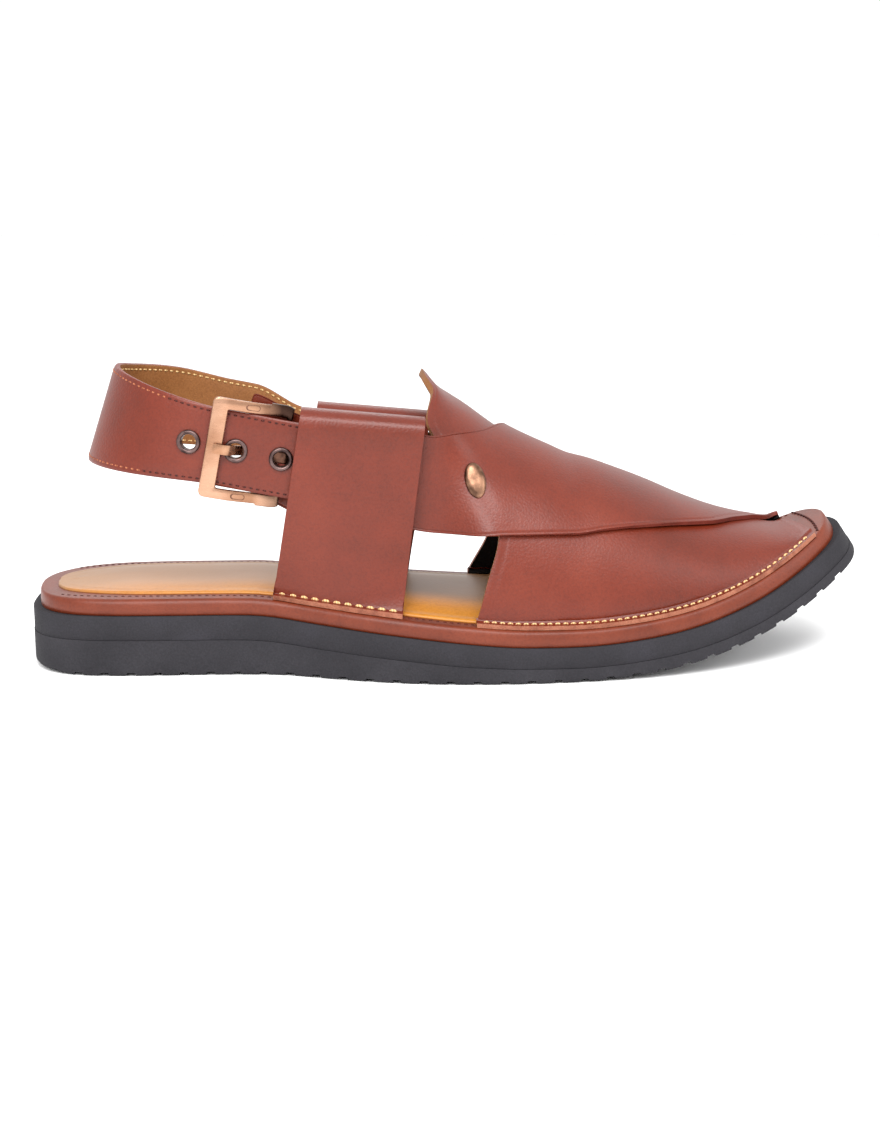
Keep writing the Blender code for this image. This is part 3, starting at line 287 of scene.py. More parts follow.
# place along the band, front edge (station, angle), rear edge (station, angle)
outerBandRows = (
    (0.00, 0.258, 31.0, 0.258, 46.0), (0.03, 0.266, 24.5, 0.266, 53.0), (0.12, 0.325, 20.5, 0.325, 47.5),
    (0.30, 0.451, 21.5, 0.451, 52.0), (0.36, 0.500, 24.8, 0.482, 58.3), (0.42, 0.542, 29.2, 0.515, 68.0),
    (0.47, 0.594, 33.0, 0.536, 82.0), (0.52, 0.653, 37.7, 0.550, 96.0), (0.62, 0.769, 47.5, 0.562, 115.0),
    (0.70, 0.843, 58.5, 0.562, 132.0), (0.76, 0.882, 74.0, 0.559, 142.0), (0.80, 0.908, 90.0, 0.556, 148.0),
    (0.90, 0.938, 135.0, 0.543, 164.5), (1.00, 0.950, 180.0, 0.516, 180.0))
innerBandRows = (
    (0.00, 0.330, 159.0, 0.330, 137.5), (0.18, 0.390, 158.0, 0.390, 138.0), (0.28, 0.443, 157.0, 0.448, 135.0),
    (0.32, 0.465, 156.0, 0.472, 130.0), (0.36, 0.497, 153.0, 0.474, 117.0), (0.42, 0.542, 149.0, 0.449, 93.0),
    (0.47, 0.600, 144.0, 0.451, 82.6), (0.52, 0.653, 139.0, 0.459, 73.0), (0.58, 0.750, 126.0, 0.455, 60.0),
    (0.64, 0.800, 117.0, 0.474, 49.0), (0.72, 0.865, 106.0, 0.512, 37.0), (0.80, 0.948, 96.0, 0.533, 28.7),
    (0.90, 0.958, 45.0, 0.519, 12.0), (1.00, 0.960, 0.0, 0.507, 0.0))


def mix(a, b, share):
    return a + (b - a) * share


def ease(value):
    value = min(1.0, max(0.0, value))
    return value * value * (3 - 2 * value)


def readRows(rows, column, at):
    # a smooth curve through one column that never overshoots
    xs = [row[0] for row in rows]
    ys = [row[column] for row in rows]
    if at <= xs[0]:
        return ys[0]
    if at >= xs[-1]:
        return ys[-1]
    k = max(i for i in range(len(xs) - 1) if xs[i] <= at)
    slopes = [(ys[i + 1] - ys[i]) / (xs[i + 1] - xs[i]) for i in range(len(xs) - 1)]

    def tangent(i):
        if i == 0 or i == len(xs) - 1:
            return slopes[min(i, len(slopes) - 1)]
        before, after = slopes[i - 1], slopes[i]
        return 0.0 if before * after <= 0 else 2 * before * after / (before + after)

    width = xs[k + 1] - xs[k]
    u = (at - xs[k]) / width
    return (ys[k] * (1 + 2 * u) * (1 - u) ** 2 + width * tangent(k) * u * (1 - u) ** 2
            + ys[k + 1] * u * u * (3 - 2 * u) + width * tangent(k + 1) * u * u * (u - 1))


stepLength = 0.0005  # spacing of the tables that the surfaces read
stepCount = int(sole["length"] / stepLength) + 2


def tabulate(rows, column):
    return [readRows(rows, column, i * stepLength / sole["length"]) for i in range(stepCount)]


def readTable(table, station, step=stepLength):
    at = min(max(station / step, 0.0), len(table) - 1.001)
    i = int(at)
    return mix(table[i], table[i + 1], at - i)


stackTable = [sole["heelStack"] * v for v in tabulate(soleRows, 2)]
treadTable = [s * v for s, v in zip(stackTable, tabulate(soleRows, 3))]
ridgeTable = [band["instep"] * v for v in tabulate(lastRows, 1)]
middleTable = [sole["ball"] * v for v in tabulate(lastRows, 2)]
fullTables = {-1: tabulate(lastRows, 3), 1: tabulate(lastRows, 4)}


undersideStep = 0.001


def undersidePoints():
    # x, z and slope along the underside, which turns up into the toe spring
    x, z, points = 0.0, 0.0, []
    for i in range(int(sole["length"] / undersideStep) + 40):
        slope = radians(sole["toeSpring"] * readRows(soleRows, 1, i * undersideStep / sole["length"]))
        points.append((x, z, slope))
        x += undersideStep * cos(slope)
        z += undersideStep * sin(slope)
    return points


undersideTables = list(zip(*undersidePoints()))


def place(station, side, height):
    # from a station along the underside and a height square to it
    x, z, slope = (readTable(table, station, undersideStep) for table in undersideTables)
    x += min(station, 0.0)
    return Vector((x - height * sin(slope) - sole["heelSeat"], side, z + height * cos(slope)))


def throughPoints(p, u):
    # a smooth curve from p[1] to p[2] that comes from p[0] and goes on to p[3]
    return tuple(0.5 * (2 * p[1][k] + (p[2][k] - p[0][k]) * u
                        + (2 * p[0][k] - 5 * p[1][k] + 4 * p[2][k] - p[3][k]) * u * u
                        + (3 * p[1][k] - p[0][k] - 3 * p[2][k] + p[3][k]) * u ** 3) for k in range(len(p[0])))


def closedCurve(rows, perSpan):
    points, count = [], len(rows)
    for i in range(count):
        near = [rows[(i + k - 1) % count] for k in range(4)]
        points += [throughPoints(near, j / perSpan) for j in range(perSpan)]
    return points


def widthTables():
    points = [(s * sole["length"], y * sole["ball"]) for s, y in closedCurve(outlineRows, 12)]
    back = min(range(len(points)), key=lambda i: points[i][0])
    points = points[back:] + points[:back]
    tip = max(range(len(points)), key=lambda i: points[i][0])
    tables = {}
    for side, chain in ((-1, points[:tip + 1]), (1, list(reversed(points[tip:])))):
        made = []
        for i in range(stepCount * 2):
            station = i * stepLength / 2
            value = chain[-1][1]
            for a, b in zip(chain, chain[1:]):
                if b[0] >= station and b[0] > a[0]:
                    value = mix(a[1], b[1], max(0.0, (station - a[0]) / (b[0] - a[0])))
                    break
            made.append(value)
        tables[side] = made
    return tables


halfTables = widthTables()


def halfWidth(station, side):
    return readTable(halfTables[side], station, stepLength / 2)


def footbedTop(station):
    return readTable(stackTable, station) + sole["gap"] + sole["board"]


def randHalf(station, side):
    return abs(halfWidth(station, side)) - sole["randSide"]


def lastPoint(station, angle):
    # the form inside the bands; the angle goes from 0 at the outer side over the ridge to 180
    side = -1 if angle < 90.0 else 1
    middle = readTable(middleTable, station)
    power = 2.0 / readTable(fullTables[side], station)
    reach = randHalf(station, side) - band["flangeIn"] - band["flange"] - band["thick"] - side * middle
    turn = radians(min(180.0, max(0.0, angle)))
    return place(station, middle + side * reach * abs(cos(turn)) ** power,
                 footbedTop(station) + readTable(ridgeTable, station) * max(0.0, sin(turn)) ** power)


def lastNormal(station, angle):
    # square to the last, from its points 2 degrees and 1.5 mm away
    low, high = max(angle - 2.0, 1.0), min(angle + 2.0, 179.0)
    across = lastPoint(station, high) - lastPoint(station, low)
    along = lastPoint(station + 0.0015, angle) - lastPoint(station - 0.0015, angle)
    return -across.cross(along).normalized()


def loopWall(station, side, height):
    low = footbedTop(station)
    base = randHalf(station, side) - band["flangeIn"] - band["flange"]
    share = min(1.0, max(0.0, (height - low) / (loop["topRear"] - low)))
    return mix(base, loop["half"], 1.0 - (1.0 - share) ** 4)


def loopStations(side, rise):
    rear = loop["rear"] + (loop["medialShift"] if side > 0 else 0.0) + loop["lean"] * rise
    return rear, rear + loop["width"] - loop["taper"] * rise


def bandPoint(ownSide, station, angle, level, depth):
    # over the last and, near its own loop, inside the wall of that loop; depth goes into the leather
    closing = ease((station / sole["length"] - band["toeClose"][0]) / band["toeClose"][1])
    between = mix(band["between"], band["toeGap"], closing)
    offset = level * (band["thick"] + between) + band["thick"] - depth
    point = lastPoint(station, angle) + lastNormal(station, angle) * offset
    fromOwn = angle if ownSide < 0 else 180.0 - angle
    leaving = (station - loopStations(ownSide, 1.0)[1] - band["loopLead"]) / band["blend"]
    tailShare = (1.0 - ease(leaving)) * (1.0 - ease((fromOwn - band["tail"][0]) / band["tail"][1]))
    depth += loop["leather"] + strap["slide"] + strap["thick"] + 2 * sole["gap"]
    if ownSide < 0:
        rise = (point.z - footbedTop(station)) / (loop["topRear"] - footbedTop(station))
        mouth = loopStations(ownSide, rise)[0] - band["tabLead"]
        depth += band["tabIn"] * (1.0 - ease((station - mouth) / band["tabBend"]))
    point.y = mix(point.y, ownSide * (loopWall(station, ownSide, point.z) - depth), tailShare)
    return point


def innerBandPoint(station, angle, depth):
    point = bandPoint(1, station, angle, 0, depth)
    if angle < 90.0:
        room = bandPoint(-1, station, angle, 1, band["thick"]).y + band["between"] + depth
        point.y = mix(point.y, max(point.y, room), ease((angle - 4.0) / 14.0))
    return point


def outerBandPoint(station, angle, depth):
    return bandPoint(-1, station, angle, 1, depth)


# Mesh helpers


def linkObject(name, data):
    obj = bpy.data.objects.new(name, data)
    bpy.context.collection.objects.link(obj)
    return obj


def keepPiece(name, verts, faces, finishes, parts=None, sharp=45.0, slotName=None, stands=()):
    # one object from points and faces, closed, smooth, riding on the shoe
    mesh = bpy.data.meshes.new(name)
    work = bmesh.new()
    points = [work.verts.new(v) for v in verts]
    for i, face in enumerate(faces):
        if len(set(face)) > 2:
            made = work.faces.new([points[k] for k in face])
            made.material_index = parts[i] if parts else 0
    bmesh.ops.recalc_face_normals(work, faces=work.faces)
    if work.calc_volume(signed=True) < 0:
        bmesh.ops.reverse_faces(work, faces=work.faces)
    work.to_mesh(mesh)
    work.free()
    for finish in finishes:
        mesh.materials.append(finish)
    mesh.shade_smooth()
    mesh.set_sharp_from_angle(angle=radians(sharp))
    obj = linkObject(name, mesh)
    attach(obj, "root")
    if stands:
        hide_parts(*stands)
    return obj


def softEdges(obj, width):
    bevel = obj.modifiers.new("softEdges", "BEVEL")
    bevel.width = width
    bevel.segments = 2
    bevel.limit_method = "ANGLE"
    bevel.angle_limit = radians(40)


def loftFaces(sectionCount, count, ring=False):
    # the faces between closed sections; a ring also joins the last section to the first
    faces = []
    for i in range(sectionCount if ring else sectionCount - 1):
        n = (i + 1) % sectionCount
        for j in range(count):
            k = (j + 1) % count
            faces.append((i * count + j, i * count + k, n * count + k, n * count + j))
    return faces


def tubeFaces(sectionCount, count, first=0):
    # a loft with both ends closed, from point number first on
    ends = [tuple(reversed(range(count))), tuple((sectionCount - 1) * count + k for k in range(count))]
    return [tuple(first + v for v in face) for face in loftFaces(sectionCount, count) + ends]


def sheetPiece(name, outer, inner, finishes, sharp=50.0, **extra):
    # a skin with an outer face (finish 0), an inner face (1) and cut edges (2)
    rows, columns = len(outer), len(outer[0])
    verts = [v for row in outer for v in row] + [v for row in inner for v in row]
    base = rows * columns
    faces, parts = [], []

    def at(i, j, layer=0):
        return layer * base + i * columns + j

    for i in range(rows - 1):
        for j in range(columns - 1):
            faces.append((at(i, j), at(i, j + 1), at(i + 1, j + 1), at(i + 1, j)))
            faces.append((at(i, j, 1), at(i + 1, j, 1), at(i + 1, j + 1, 1), at(i, j + 1, 1)))
            parts += [0, 1]
    for i in range(rows - 1):
        for j in (0, columns - 1):
            faces.append((at(i, j), at(i + 1, j), at(i + 1, j, 1), at(i, j, 1)))
            parts.append(2 if j == 0 else len(finishes) - 1)
    for j in range(columns - 1):
        for i in (0, rows - 1):
            faces.append((at(i, j), at(i, j, 1), at(i, j + 1, 1), at(i, j + 1)))
            parts.append(2 if i == 0 else 3)
    return keepPiece(name, verts, faces, finishes, parts, sharp, **extra)


def soleSections(insetSide, insetEnd, profile, insetHeel=None):
    # sections of one layer, closer together at both ends; a profile is (distance in, height) up one side
    insetHeel = insetEnd if insetHeel is None else insetHeel
    sections, steps = [], sole["steps"]
    for i in range(steps + 1):
        share = 0.5 - 0.5 * cos(pi * (i + 0.6) / (steps + 1.2))
        source = share * sole["length"]
        station = insetHeel + share * (sole["length"] - insetHeel - insetEnd)
        outer = halfWidth(source, -1)
        inner = halfWidth(source, 1)
        inset = min(insetSide, sole["mostInset"] * (inner - outer))  # no more than the narrow ends allow
        outer, inner = outer + inset, inner - inset
        rise = profile(station)
        reach = sole["mostReach"] * (inner - outer)
        sections.append([place(station, outer + min(d, reach), h) for d, h in rise]
                        + [place(station, inner - min(d, reach), h) for d, h in reversed(rise)])
    return sections


def loftPiece(name, sections, finishes, **extra):
    verts = [v for section in sections for v in section]
    return keepPiece(name, verts, tubeFaces(len(sections), len(sections[0])), finishes, **extra)


stitchShape = {"rings": 7, "sides": 8, "tip": 0.04, "flat": 0.42}


def stitchRow(name, spots, look, finish):
    # each stitch is a small pillow of thread, sunk at both ends; a spot is (middle, along, up)
    verts, faces = [], []
    rings, sides = stitchShape["rings"], stitchShape["sides"]
    for middle, along, up in spots:
        along = along.normalized()
        up = (up - along * up.dot(along)).normalized()
        side = along.cross(up)
        faces += tubeFaces(rings, sides, len(verts))
        for i in range(rings):
            t = i / (rings - 1)
            fat = sqrt(max(stitchShape["tip"], 1.0 - (2 * t - 1) ** 4))
            lift = look["lift"] - look["sink"] * (2 * t - 1) ** 2
            for k in range(sides):
                turn = 2 * pi * k / sides
                verts.append(middle + along * (t - 0.5) * look["length"]
                             + side * cos(turn) * look["thick"] * 0.5 * fat
                             + up * (lift + sin(turn) * look["thick"] * stitchShape["flat"] * fat))
    return keepPiece(name, verts, faces, [finish], slotName="upper_leather")


def spotsAlong(pointAt, upAt, pitch, samples=400):
    # evenly spaced places on a curve; pointAt and upAt take a share from 0 to 1
    shares = [i / samples for i in range(samples + 1)]
    points = [pointAt(s) for s in shares]
    lengths = [0.0]
    for a, b in zip(points, points[1:]):
        lengths.append(lengths[-1] + (b - a).length)
    count = max(1, int(lengths[-1] / pitch))
    spots, k = [], 0
    for n in range(count):
        want = (n + 0.5) * lengths[-1] / count
        while lengths[k + 1] < want:
            k += 1
        share = mix(shares[k], shares[k + 1], (want - lengths[k]) / max(1e-9, lengths[k + 1] - lengths[k]))
        spots.append((pointAt(share), points[k + 1] - points[k], upAt(share)))
    return spots


# Rubber sole

outsoleLook = {"lugPitch": 0.0092, "lugGap": 0.0026, "lugDepth": 0.0011, "spine": 0.020, "foot": 0.0009,
               "footIn": 0.0003, "parting": 0.0001}


def buildOutsole():
    look = outsoleLook

    def profile(station):
        lift = sole["heelBevel"] * max(0.0, 1.0 - station / sole["bevelRun"]) ** 2
        top = readTable(treadTable, station)
        return [(look["foot"], lift), (look["footIn"], lift + look["footIn"]), (0.0, lift + look["foot"]),
                (0.0, 0.45 * top + 0.5 * lift), (0.0, top - look["parting"]), (look["parting"], top)]

    obj = loftPiece("rubberOutsole", soleSections(0.0, 0.0, profile), [outsoleRubber],
                    slotName="outsole_rubber", stands=("outsole",))
    verts, faces = [], []
    for i in range(1, int(sole["length"] / look["lugPitch"])):
        for side in (-1, 1):
            faces += tubeFaces(2, 4, len(verts))
            for reach in (look["spine"] / 2, sole["ball"]):
                for along, height in ((-0.75, -1), (0.75, -1), (0.5, 1), (-0.5, 1)):
                    station = i * look["lugPitch"] + along * look["lugGap"]
                    verts.append(place(station, side * reach, height * look["lugDepth"]))
    grooves = keepPiece("lugGrooves", verts, faces, [outsoleRubber])
    grooves.data.shade_flat()
    applyCut(obj, [grooves])


def applyCut(obj, cutters):
    for cutter in cutters:
        cut = obj.modifiers.new("cut", "BOOLEAN")
        cut.operation = "DIFFERENCE"
        cut.solver = "EXACT"
        cut.object = cutter
    graph = bpy.context.evaluated_depsgraph_get()
    graph.update()
    made = bpy.data.meshes.new_from_object(obj.evaluated_get(graph))
    obj.modifiers.clear()
    old = obj.data
    obj.data = made
    made.name = old.name + "Cut"
    made.set_sharp_from_angle(angle=radians(40))
    for cutter in cutters:
        bpy.data.objects.remove(cutter, do_unlink=True)


midsoleLook = {"inset": 0.00015, "parting": 0.0001, "shoulder": 0.0007, "roll": 0.0004}


def buildMidsole():
    inset, parting = midsoleLook["inset"], midsoleLook["parting"]

    def profile(station):
        low = readTable(treadTable, station) + parting
        top = readTable(stackTable, station)
        return [(parting, low), (0.0, low + parting), (0.0, 0.5 * (low + top)),
                (0.0, top - midsoleLook["shoulder"]), (midsoleLook["roll"], top)]

    loftPiece("rubberMidsole", soleSections(inset, inset, profile), [midsoleRubber],
              slotName="midsole_rubber", stands=("midsole",))


buildOutsole()
buildMidsole()
print("rubber sole made")

# Leather bound board and insole

bedLook = {"round": 0.0019, "border": 0.0080, "bulge": 0.0004, "glue": 0.00005, "tuck": 0.0005, "tuckRise": 0.0008}
insoleLook = {"heel": 0.0088, "toe": 0.0150, "edge": 0.0009, "glue": 0.00003, "crown": 0.0020, "crownRun": 0.030}
# distance in from the insole's edge, height over the edge, share of the crown
insoleRows = (
    (0.0, -0.0006, 0.0), (0.0003, -0.0002, 0.0), (0.0010, 0.0, 0.0), (0.0028, 0.00015, 0.0), (0.0036, 0.00005, 0.0),
    (0.0052, 0.0002, 0.10), (0.0090, 0.0001, 0.55), (0.0150, 0.0001, 0.85), (0.0240, 0.0001, 1.0))


def buildFootbed():
    def profile(station):
        low = readTable(stackTable, station) + bedLook["glue"]
        top = footbedTop(station)
        r, bulge = bedLook["round"], bedLook["bulge"]
        arc = [(r * (1 - cos(a)), top - r * (1 - sin(a))) for a in (radians(t) for t in (0, 22, 45, 68, 90))]
        return ([(bedLook["tuck"], low), (-0.2 * bulge, low + bedLook["tuckRise"]), (-bulge, 0.5 * (low + top - r))]
                + arc + [(bedLook["border"], top)])

    loftPiece("leatherBoundBoard", soleSections(sole["randSide"], sole["randEnd"], profile), [randHide],
              slotName="upper_leather", stands=("footbed",))


def buildInsole():
    look = insoleLook

    def profile(station):
        low = footbedTop(station) + look["glue"]
        toHeel, toToe = station - look["heel"], sole["length"] - look["toe"] - station
        crown = look["crown"] * ease(toHeel / look["crownRun"]) * ease(toToe / look["crownRun"])
        return [(0.0, low)] + [(inset, low + look["edge"] + up + share * crown) for inset, up, share in insoleRows]

    inset = sole["randSide"] + bedLook["border"]
    obj = loftPiece("paddedInsole", soleSections(inset, look["toe"], profile, look["heel"]), [insoleHide],
                    slotName="insole_leather", stands=("insole",))


buildFootbed()
buildInsole()

randThread = {"length": 0.0017, "thick": 0.00055, "lift": 0.00002, "sink": 0.0002, "pitch": 0.0024, "from": 0.012,
              "to": 0.296, "inset": 0.0052}


def randStitchPoint(side):
    def at(share):
        station = mix(randThread["from"], randThread["to"], share)
        return place(station, side * (randHalf(station, side) - randThread["inset"]), footbedTop(station))
    return at


def upFrom(share):
    return Vector((0, 0, 1))


for sideName, side in (("Outer", -1), ("Inner", 1)):
    stitchRow("randStitches" + sideName, spotsAlong(randStitchPoint(side), upFrom, randThread["pitch"]), randThread,
              brownThread)
print("footbed and insole made")

# Crossed bands

bandLook = {"along": 120, "last": 0.985, "crease": 0.00022, "creaseAt": (0.020, 0.980), "creaseEnd": 0.90,
            "creaseFade": 0.08, "rollInside": 0.70, "bevel": 0.00035}
# places across a band, closer at both edges, where a creasing iron leaves a fine line beside the cut
bandAcross = ([0.0, 0.006, 0.013, 0.020, 0.027, 0.036, 0.055] + [0.085 + 0.83 * i / 22 for i in range(23)]
              + [0.945, 0.964, 0.973, 0.980, 0.987, 0.994, 1.0])


def bandEdge(rows, share, first):
    return readRows(rows, first, share) * sole["length"], readRows(rows, first + 1, share)


def bandSpot(rows, share, across):
    front = bandEdge(rows, share, 1)
    rear = bandEdge(rows, share, 3)
    return mix(front[0], rear[0], across), mix(front[1], rear[1], across)


def buildBand(name, rows, ownSide, pointAt, finishes, node, lip=None):
    outer, inner = [], []
    for i in range(bandLook["along"] + 1):
        share = bandLook["last"] * i / bandLook["along"]
        fade = 1.0 - ease((share - bandLook["creaseEnd"]) / bandLook["creaseFade"])
        low, high = [], []
        for across in bandAcross:
            station, angle = bandSpot(rows, share, across)
            roll = lip(share, across) if lip else 0.0
            line = bandLook["crease"] * (across in bandLook["creaseAt"]) * fade
            low.append(pointAt(station, angle, line - roll))
            high.append(pointAt(station, angle, band["thick"] - bandLook["rollInside"] * roll))
        outer.append(low)
        inner.append(high)
    far, thick, flange = -ownSide, band["thick"], band["flange"]
    stations = [bandSpot(rows, 1.0, across)[0] for across in bandAcross]

    def foot(out, up):
        return [place(s, far * (randHalf(s, far) - band["flangeIn"] - out), footbedTop(s) + 0.0001 + up)
                for s in stations]

    # the flange that is stitched to the board, from the bend outward
    outer += [foot(flange + 0.0003, thick + 0.0009), foot(flange - 0.0002, thick + 0.0002), foot(0.5 * flange, thick),
              foot(0.0, thick - 0.0001)]
    inner += [foot(flange + thick, 0.0007), foot(flange + thick - 0.0005, 0.0001), foot(0.5 * flange, 0.0),
              foot(0.0, 0.0)]
    softEdges(sheetPiece(name, outer, inner, finishes, slotName="upper_leather", stands=(node,)), bandLook["bevel"])


flapLook = {"curl": 0.0030, "from": 0.80, "start": 0.36, "startRun": 0.07, "end": 0.52, "endRun": 0.08}


def flapLip(share, across):
    # the free top of the inner band curls up and back a little
    near = ease((across - flapLook["from"]) / (1.0 - flapLook["from"]))
    along = ease((share - flapLook["start"]) / flapLook["startRun"])
    return flapLook["curl"] * near * near * along * (1 - ease((share - flapLook["end"]) / flapLook["endRun"]))


# the outer band's inner face is near-black: painted shade inside the toe box
buildBand("outerCrossBand", outerBandRows, -1, outerBandPoint,
          [chestnut, toeShadeLining, paintedEdge, rawEdge, skivedEdge], "cross_band_outer")
buildBand("innerCrossBand", innerBandRows, 1, innerBandPoint,
          [chestnut, liningHide, paintedEdge, rawEdge, liningHide], "cross_band_inner", flapLip)

footThread = {"length": 0.0020, "thick": 0.00085, "lift": 0.00035, "sink": 0.00025, "pitch": 0.0027, "inset": 0.0019,
              "rearEnd": 0.002, "frontEnd": 0.003}


def footRow(rows, far):
    def at(share):
        front, rear = bandEdge(rows, 1.0, 1)[0], bandEdge(rows, 1.0, 3)[0]
        station = mix(rear + footThread["rearEnd"], front - footThread["frontEnd"], share)
        reach = randHalf(station, far) - band["flangeIn"] - footThread["inset"]
        return place(station, far * reach, footbedTop(station) + band["thick"])
    return at


for name, rows, far in (("innerBandStitches", innerBandRows, -1), ("outerBandStitches", outerBandRows, 1)):
    stitchRow(name, spotsAlong(footRow(rows, far), upFrom, footThread["pitch"]), footThread, tanThread)

toeThread = {"length": 0.0019, "thick": 0.0006, "lift": 0.00015, "sink": 0.0002, "count": 25, "station": 0.966,
             "bow": 0.006, "inset": 0.0042, "lean": 0.8}


def toeSpots():
    # dark zigzag across the binding where both bands end
    spots = []
    for k in range(toeThread["count"]):
        share = (k + 0.5) / toeThread["count"]
        station = sole["length"] * (toeThread["station"] + toeThread["bow"] * (1 - (2 * share - 1) ** 2))
        side = mix(toeThread["inset"] - randHalf(station, -1), randHalf(station, 1) - toeThread["inset"], share)
        along = Vector((toeThread["lean"] * (1 if k % 2 else -1), 1.0, 0.0))
        spots.append((place(station, side, footbedTop(station)), along, Vector((0, 0, 1))))
    return spots


stitchRow("toeZigzag", toeSpots(), toeThread, brownThread)
print("bands made")

# Side loops

loopLook = {"steps": 24, "fold": 0.075, "foldSteps": 12, "floor": 0.12, "wall": 0.79, "wallRows": 17, "opening": 0.45,
            "bevel": 0.0003}


def loopPoint(side, share, depth, rise, up):
    rear, front = loopStations(side, rise)
    station = mix(rear, front, share)
    low = footbedTop(station) + 0.0001
    top = loop["topRear"] - loop["fall"] * share - (loop["medialDrop"] if side > 0 else 0.0)
    height = mix(low, top, rise) + up
    return place(station, side * (loopWall(station, side, height) - depth), height)


def tunnelDepth(rise):
    return loop["leather"] + mix(loop["tunnelFoot"], loop["tunnel"], ease(rise / loopLook["opening"]))


def buildLoop(name, side, node):
    # leather up the outside, over the fold and down again inside; the strap's tunnel is between the two
    leather, lining, tunnel, flange = loop["leather"], loop["lining"], loop["tunnel"], band["flange"]
    full, fold, floor = leather + tunnel + lining, loopLook["fold"], loopLook["floor"]
    rises = [floor + loopLook["wall"] * i / loopLook["wallRows"] for i in range(loopLook["wallRows"] + 1)]
    arc, innerArc = [], []
    for i in range(1, loopLook["foldSteps"]):
        turn = pi * i / loopLook["foldSteps"]
        arc.append((0.5 * full * (1 - cos(turn)), 1.0 - fold * (1 - sin(turn)), 0.0))
        innerArc.append((leather + 0.5 * tunnel * (1 - cos(turn)), 1.0 - fold + fold * sin(turn),
                         -leather * sin(turn)))

    def tunnelFloor(shares):
        return [(mix(tunnelDepth(floor), leather, share), floor, 0.0) for share in shares]

    outside = ([(-flange, 0.0, 0.0), (-flange, 0.0, leather - 0.0002), (-0.0004, 0.0, leather), (0.0, 0.02, leather)]
               + [(0.0, r, 0.0) for r in rises] + arc
               + [(tunnelDepth(r) + lining, r, 0.0) for r in rises[::-1] + [0.06, 0.0]])
    inside = (tunnelFloor((0.3, 0.5, 0.7, 0.85)) + [(leather, r, 0.0) for r in rises] + innerArc
              + [(tunnelDepth(r), r, 0.0) for r in reversed(rises)] + tunnelFloor((0.1, 0.2)))
    count, steps = len(outside), loopLook["steps"]
    verts, faces, parts = [], [], []
    for ring in (outside, inside):
        for i in range(steps + 1):
            verts += [loopPoint(side, i / steps, *spot) for spot in ring]
    base = (steps + 1) * count
    for face in loftFaces(steps + 1, count):
        faces.append(face)
        parts.append(3 if face[0] % count == 0 else 0)
    for face in loftFaces(steps + 1, count):
        faces.append(tuple(base + k for k in reversed(face)))
        parts.append(1)
    for i in (0, steps):
        for j in range(count):
            a, b = i * count + j, i * count + (j + 1) % count
            faces.append((a, b, base + b, base + a))
            parts.append(2)
    softEdges(keepPiece(name, verts, faces, [chestnut, liningHide, paintedEdge, rawEdge], parts, 50.0,
                        slotName="upper_leather", stands=(node,)), loopLook["bevel"])


buildLoop("outerSideLoop", -1, "side_loop_lateral")
buildLoop("innerSideLoop", 1, "side_loop_medial")
loopThread = {"length": 0.0027, "thick": 0.00100, "lift": 0.00055, "sink": 0.00035, "pitch": 0.0040, "end": 0.0012,
              "inset": 0.0008}


def loopFoot(side):
    def at(share):
        rear, front = loopStations(side, 0.0)
        station = mix(rear + loopThread["end"], front - loopThread["end"], share)
        reach = randHalf(station, side) - band["flangeIn"] - band["flange"] + loopThread["inset"]
        return place(station, side * reach, footbedTop(station) + loop["leather"])
    return at


def upAndOut(side):
    return lambda share: Vector((0, 0.6 * side, 0.8))


for sideName, side in (("outer", -1), ("inner", 1)):
    stitchRow(sideName + "LoopStitches", spotsAlong(loopFoot(side), upAndOut(side), loopThread["pitch"]), loopThread,
              tanThread)
print("side loops made")

# Heel strap with eyelets

strapHalf = loop["half"] - loop["leather"] - strap["slide"]
strapQuarter = 0.25 * pi * (strap["arc"] + strapHalf)
strapForward = Vector((cos(radians(strap["slope"])), 0.0, -sin(radians(strap["slope"]))))
strapUp = Vector((sin(radians(strap["slope"])), 0.0, cos(radians(strap["slope"]))))
strapMiddle = Vector((strap["back"] - sole["heelSeat"], 0.0, strap["height"])) + strapForward * strap["arc"]


def strapLine(along):
    side = -1.0 if along < 0 else 1.0
    reach = abs(along)
    if reach <= strapQuarter:
        turn = 0.5 * pi * reach / strapQuarter
        across = Vector((0.0, side * strapHalf * sin(turn), 0.0))
        point = strapMiddle - strapForward * strap["arc"] * cos(turn) + across
        across = Vector((0.0, side * strap["arc"] * sin(turn), 0.0))
        out = (across - strapForward * strapHalf * cos(turn)).normalized()
        return point, out, 1.0 - ease(1.8 * reach / strapQuarter - 0.8)
    return (strapMiddle + strapForward * (reach - strapQuarter) + Vector((0.0, side * strapHalf, 0.0)),
            Vector((0.0, side, 0.0)), 0.0)


def strapAlong(station, side):
    return side * (strapQuarter + (station - sole["heelSeat"] - strapMiddle.x) / strapForward.x)


def strapPoint(along, rise, depth):
    point, out, roundShare = strapLine(along)
    heelShare = max(0.0, cos(min(0.5 * pi, 0.5 * pi * abs(along) / strapQuarter))) ** 1.3
    width = mix(strap["width"], strap["heelWidth"], heelShare)
    lean = radians(strap["lean"]) * roundShare
    riseAxis = strapUp * cos(lean) - out * sin(lean)
    faceAxis = out * cos(lean) + strapUp * sin(lean)
    lift = strap["rise"] * ease((along - 0.2 * strapQuarter) / (0.6 * strapQuarter))
    lift -= strap["drop"] * ease((along - 1.18 * strapQuarter) / (0.36 * strapQuarter))
    return point + riseAxis * (0.5 * width * rise) - faceAxis * depth + strapUp * lift


eyelet = {"first": 0.0600, "pitch": 0.0152, "count": 3, "radius": 0.0041, "hole": 0.0026, "rim": 0.0006,
          "wall": 0.0006}


